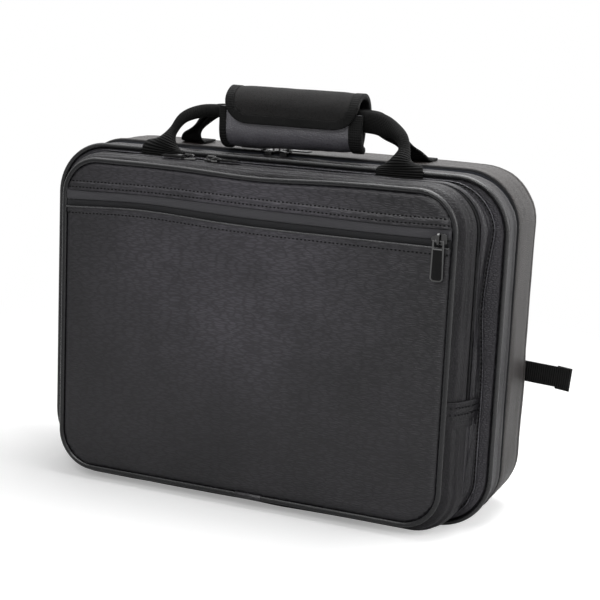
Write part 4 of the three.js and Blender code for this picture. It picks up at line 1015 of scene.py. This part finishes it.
# Grip: a padded wrap of glossy leather cloth round both straps, its ends bound with black tape, closed on top
# by a padded flap with a matt face and the same binding.
# painted light: the wrap's colour is far lighter than the other leathers, lifting it out of the shade under the grip
wrap_painted_light_leather = leather("wrap leather painted lighter", (0.080, 0.077, 0.090), (0.118, 0.115, 0.130), 0.32,
                       cells=700, stretch=0.6, bump=0.00014, specular=0.8, low=0.8)
flap_cloth = leather("flap face", (0.021, 0.0205, 0.0205), (0.027, 0.0262, 0.0262), 0.68,
                     cells=1500, stretch=0.9, bump=0.00012, specular=0.12)
wrap_middle, wrap_bend, wrap_left, wrap_right = (-37.3, 297.85), 12.85, -53, 69
wrap_front_top, wrap_rear_top = 313, 314.5
wrap_first = wrap_front_top - wrap_middle[1]
wrap_length = wrap_first + math.pi * wrap_bend + (wrap_rear_top - wrap_middle[1])


def bent_path(distance, middle, bend, first, turn_from):
    """A straight run, half a turn and a straight run on: a point in YZ and the outward direction there."""
    turned = min(max(distance - first, 0), bend * math.pi)
    angle = turn_from + turned / bend
    out, forward = Vector((math.cos(angle), math.sin(angle))), Vector((-math.sin(angle), math.cos(angle)))
    return Vector(middle) + out * bend + forward * (distance - first - turned), out


def wrap_at(distance):
    return bent_path(distance, wrap_middle, wrap_bend, wrap_first, math.pi)


def end_at(across):
    """The wrap's right end runs in a little behind the straps."""
    return wrap_right - 7 * ease((across - 0.42) / 0.25)


def droop(x, z):
    """The wrap hangs a little lower toward its left end."""
    return 3.4 * ease((310 - z) / 22) * (wrap_right - x) / (wrap_right - wrap_left)


def wrap_place(run, across):
    x = wrap_left + 1 + (end_at(across) - wrap_left - 2) * run
    spot, out = wrap_at(wrap_length * across)
    full = 0.9 * (1 - abs(2 * run - 1) ** 5) + 0.5 * noise.noise((x / 9, across * 7, 3)) * (0.35 + abs(2 * run - 1))
    spot = spot + out * (1.2 + full)
    return (x, spot[0], spot[1] - droop(x, spot[1]))


wrap = add_piece("grip_pad", swept(72, 56, wrap_place), wrap_painted_light_leather, "shell", ["grip_wrap"])
thicken(wrap, 3.2)
# the binding's section: how far in from the end, and how far out from the wrap's middle
binding_section = [
    (6.2, 1.6), (6.1, 2.6), (5.4, 2.9), (1.2, 2.9), (0.2, 2.1), (-0.3, 0.2), (0.2, -2.1), (1.2, -2.6), (6.2, -2.4)]


def bind(name, edge, inward, reach):
    """Tape folded over one end of the wrap."""
    last = len(binding_section) - 1

    def bound_place(share, turn):
        in_by, off = binding_section[round(turn * last)]
        spot, out = wrap_at(wrap_length * share)
        waver = 0.25 * noise.noise((share * 9, in_by, edge))
        spot = spot + out * (off + waver)
        start = end_at(share) if edge == wrap_right else edge
        drop = droop(edge, spot[1]) if edge == wrap_left else 0
        x = start + inward * in_by * (reach if in_by > 1.2 else 1)
        return (x, spot[0], spot[1] - drop), share * wrap_length, in_by

    add_piece(name, swept(60, last, bound_place, True), binding_tape, "shell", sharp=60)


bind("grip_binding_left", wrap_left, 1, 1)
bind("grip_binding_right", wrap_right, -1, 1.7)

flap_middle, flap_bend, flap_left, flap_right, flap_drop = (-39.325, 312.6), 14.875, -47, 66, 300.5
flap_length = math.pi * flap_bend + flap_middle[1] - flap_drop


def flap_sheet(keep_inner, lift, puff, border):
    """The flap cut flat with two rounded corners, its face or its border kept, then bent over the grip."""
    bm = bmesh.new()
    corners = ops.create_grid(bm, x_segments=1, y_segments=1, size=1)["verts"]
    ops.scale(bm, vec=((flap_right - flap_left) / 2, flap_length / 2, 1), verts=corners)
    ops.translate(bm, vec=((flap_right + flap_left) / 2, flap_length / 2, 0), verts=corners)
    lower = [vert for vert in corners if vert.co.y > 1]
    round_off(bm, lower, 20, 12)
    inner = bm.faces[:]
    ring = ops.inset_region(bm, faces=inner, thickness=border, use_boundary=True, use_even_offset=True)["faces"]
    gone = ring if keep_inner else [face for face in bm.faces if face not in ring]
    ops.delete(bm, geom=gone, context="FACES")
    for k in range(1, 40):
        cut(bm, 0, flap_left + 3 * k)
    for k in range(1, 37):
        cut(bm, 1, 1.6 * k)
    layers = [bm.verts.layers.float.new(word) for word in ("run", "across")]
    for vert in bm.verts:
        x, travelled = vert.co.x, vert.co.y
        spot, out = bent_path(travelled, flap_middle, flap_bend, 0.01, 0)
        edge = min(x - flap_left, flap_right - x, flap_length - travelled)
        full = puff * ease((edge - 4) / 14) + 0.3 * noise.noise((x / 14, travelled / 9, 8))
        spot = spot + out * (lift + full)
        vert.co = (x, spot[0], spot[1])
        straight = min(x - flap_left, flap_right - x) < border + 2
        vert[layers[0]], vert[layers[1]] = (travelled, x) if straight else (x, travelled)
    return bm


flap_face = add_piece("flap_face", flap_sheet(True, 1.5, 0.7, 6.6), flap_cloth, None, ["grip_flap"])
thicken(flap_face, 3.0)
flap_binding = add_piece("flap_binding", flap_sheet(False, 2.0, 0.0, 7.0), binding_tape, None, sharp=70)
thicken(flap_binding, 4.2)
for piece in (flap_face, flap_binding):
    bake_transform(piece, "shell", "grip_flap", start=(0.005, -0.0225, 0.3126), end=(0.005, -0.0281, 0.3183))

# Backpack straps: two padded leather-cloth straps bound with black tape, sewn under a patch near the top of
# the back. Webbing runs from corner patches to a moulded ladder lock at each strap's foot.
shell_back = 32.3
strap_cloth = leather("strap leather", (0.011, 0.0105, 0.0115), (0.018, 0.017, 0.0185), 0.44,
                      cells=600, stretch=0.9, bump=0.0002)
strap_top, strap_bow, strap_end = (40, 223.7), (104, 180.6), (96, 141)
strap_foot, strap_half, strap_depth, strap_length, tail_length = 128, 26, 4.4, 120, 118
strap_hem = [(5.2, 3.0), (5.0, 3.6), (0.8, 2.4), (-0.2, 1.2), (-0.6, 0), (-0.2, -1.2), (0.8, -2.4), (5.2, -3.4)]


def strap_middle(share):
    """The strap's middle line, and its half width there."""
    bend = 0.88
    if share < bend:
        t = share / bend
        x, z = ((1 - t) ** 2 * a + 2 * t * (1 - t) * b + t * t * c for a, b, c in zip(strap_top, strap_bow, strap_end))
        return x, z, strap_half
    t = (share - bend) / 0.12
    return strap_end[0], strap_end[1] + (strap_foot + 1 - strap_end[1]) * t, strap_half - (strap_half / 2) * ease(t)


def strap_place(side):
    def place(run, turn):
        x, z, half = strap_middle(run)
        angle = 2 * math.pi * turn
        across, deep = math.cos(angle), math.sin(angle)
        thick = 1.5 + 2.6 * ease(run / 0.05) * ease((1 - run) / 0.1)
        seam = hump(abs(across) - 0.78, 0.05)
        swell = math.copysign(abs(deep) ** 0.55, deep) * thick * (1 - 0.35 * seam)
        swell += 0.35 * noise.noise((across * 2, run * 9, side)) * (1 if deep > 0 else 0)
        return (side * (x + across * (half - 0.8)), shell_back + strap_depth + swell, z)
    return place


def strap_edge_place(side, edge_side):
    def place(share, turn):
        in_by, off = strap_hem[round(turn * (len(strap_hem) - 1))]
        x, z, half = strap_middle(share)
        thick = 0.45 + 0.55 * ease(share / 0.05) * ease((1 - share) / 0.1)
        spot = (side * (x + edge_side * (half - in_by)), shell_back + strap_depth + off * thick, z)
        return spot, share * strap_length, in_by
    return place


for side, word in ((-1, "left"), (1, "right")):
    bm = swept(60, 44, strap_place(side))
    ops.remove_doubles(bm, verts=bm.verts, dist=0.01)
    rims = [edge for edge in bm.edges if edge.is_boundary]
    ops.triangulate(bm, faces=ops.holes_fill(bm, edges=rims, sides=0)["faces"], ngon_method="EAR_CLIP")
    pad = add_piece(f"strap_pad_{word}", bm, strap_cloth, "shell", [f"shoulder_strap_{word}"], sharp=70)
    for edge_side, edge_word in ((-1, "inner"), (1, "outer")):
        bm = swept(70, len(strap_hem) - 1, strap_edge_place(side, edge_side), True)
        add_piece(f"strap_binding_{edge_word}_{word}", bm, webbing, "shell", sharp=60)


def sewn_patch(name, node):
    """A node's flat patch cut into cells and softened, with a row of stitches a little inside its edge."""
    cell, step, corner_gap, edge_gap = 4, 3.2, 3, 3
    bm = from_node(node)
    front = max(bm.faces, key=lambda face: (round(face.calc_center_median().y, 2), face.calc_area()))
    corners = [loop.vert.co.copy() for loop in front.loops]
    middle = sum(corners, Vector()) / len(corners)
    low, high = [Vector(pick(corner[i] for corner in corners) for i in range(3)) for pick in (min, max)]
    for axis in (0, 2):
        for k in range(1, int((high[axis] - low[axis]) / cell) + 1):
            cut(bm, axis, low[axis] + cell * k)
    for vert in bm.verts:
        if vert.co.y > middle.y - 0.1:
            vert.co.y += 0.3 * noise.noise(vert.co / 9)
    patch = add_piece(name, bm, shell_leather, "shell", [node], sharp=50)
    soften_edges(patch, 0.7, 3, 60)
    rows = []
    for a, b in zip(corners, corners[1:] + corners[:1]):
        along = (b - a).normalized()
        inward = (middle - (a + b) / 2)
        inward = (inward - along * inward.dot(along)).normalized()
        for k in range(int(((b - a).length - 2 * corner_gap) / step) + 1):
            spot = a + along * (corner_gap + step * k) + inward * edge_gap
            rows.append(((spot.x, middle.y + 0.15, spot.z), along, (0, 1, 0)))
    add_stitches(f"{name}_stitches", rows, (2.2, 0.7, 0.8), "shell")


sewn_patch("back_patch", "strap_patch")
for word in ("left", "right"):
    sewn_patch(f"corner_patch_{word}", f"lower_anchor_{word}")
lock_plastic = mottled("moulded plastic", (0.008, 0.008, 0.009), (0.016, 0.016, 0.017), (0.32, 0.55), (120.0, 5.0),
                       ((1400.0, 3.0), 0.00008, 0.6))


def flat_web(name, body, path, half, thickness, replaced, columns=40, cloth=webbing):
    """Narrow webbing along a path that gives its middle, the way its width runs, and how far it has come."""
    def web_place(share, across):
        middle, wide, travelled = path(share)
        off = half * (2 * across - 1)
        return Vector(middle) + Vector(wide) * off, travelled, off

    web = add_piece(name, swept(columns, 4, web_place, True), cloth, body, replaced, sharp=60)
    thicken(web, thickness, 0.0)
    soften_edges(web, 0.5, 2, 50)


for side, word in ((-1, "left"), (1, "right")):
    node, tail = f"ladder_lock_{word}", f"strap_tail_{word}"
    lock = add_piece(f"ladder_lock_body_{word}", from_node(node), lock_plastic, "shell", [node], sharp=35)
    soften_edges(lock, 1.1, 4)

    def lower_path(share):
        start, end = Vector((side * 158, 35.9, 30)), Vector((side * 96, 35.9, 101.3))
        spot = start.lerp(end, share)
        spot.y += 2.0 * math.sin(math.pi * share)
        run = (end - start).normalized()
        wide = Vector((run.z, 0, -run.x)).lerp(Vector((1, 0, 0)), ease((share - 0.7) / 0.3)).normalized()
        return spot, wide, share * (end - start).length

    def loop_path(share):
        angle = math.pi * (1.35 * share - 0.35)
        return (side * 96, 34.9 - 3.4 * math.cos(angle), 103.4 + 3.6 * math.sin(angle)), (1, 0, 0), share * 16

    def tail_path(share):
        drop = 0.8 * math.sin(math.pi * share) + 6.6 * share ** 1.4
        spot = (side * (110.5 + 117.5 * share), 33.6 + 0.5 * math.sin(5 * share), 114.7 - drop)
        return spot, (side * 0.07 * share, 0, 1), tail_length * share

    def tail_hem_path(share):
        spot = (side * (216.5 + 12 * share), 35.2, 108.0 - 1.3 * share)
        return spot, (side * 0.08, 0, 1), tail_length + 12 * share

    flat_web(f"lower_webbing_{word}", "shell", lower_path, 8.5, 1.6, [f"lower_web_{word}"])
    flat_web(f"lock_loop_{word}", "shell", loop_path, 8.3, 1.4, [], 16)
    flat_web(f"tail_webbing_{word}", tail, tail_path, 8.5, 1.6, [tail], cloth=binding_tape)
    flat_web(f"tail_hem_{word}", tail, tail_hem_path, 9.6, 1.6, [], 8, binding_tape)
    rows = [((side * 218.5, 36.2, 108 + 2.6 * k), (0, 0, 1), (0, 1, 0)) for k in range(-3, 4)]
    add_stitches(f"tail_stitches_{word}", rows, (2.0, 0.6, 0.5), tail)
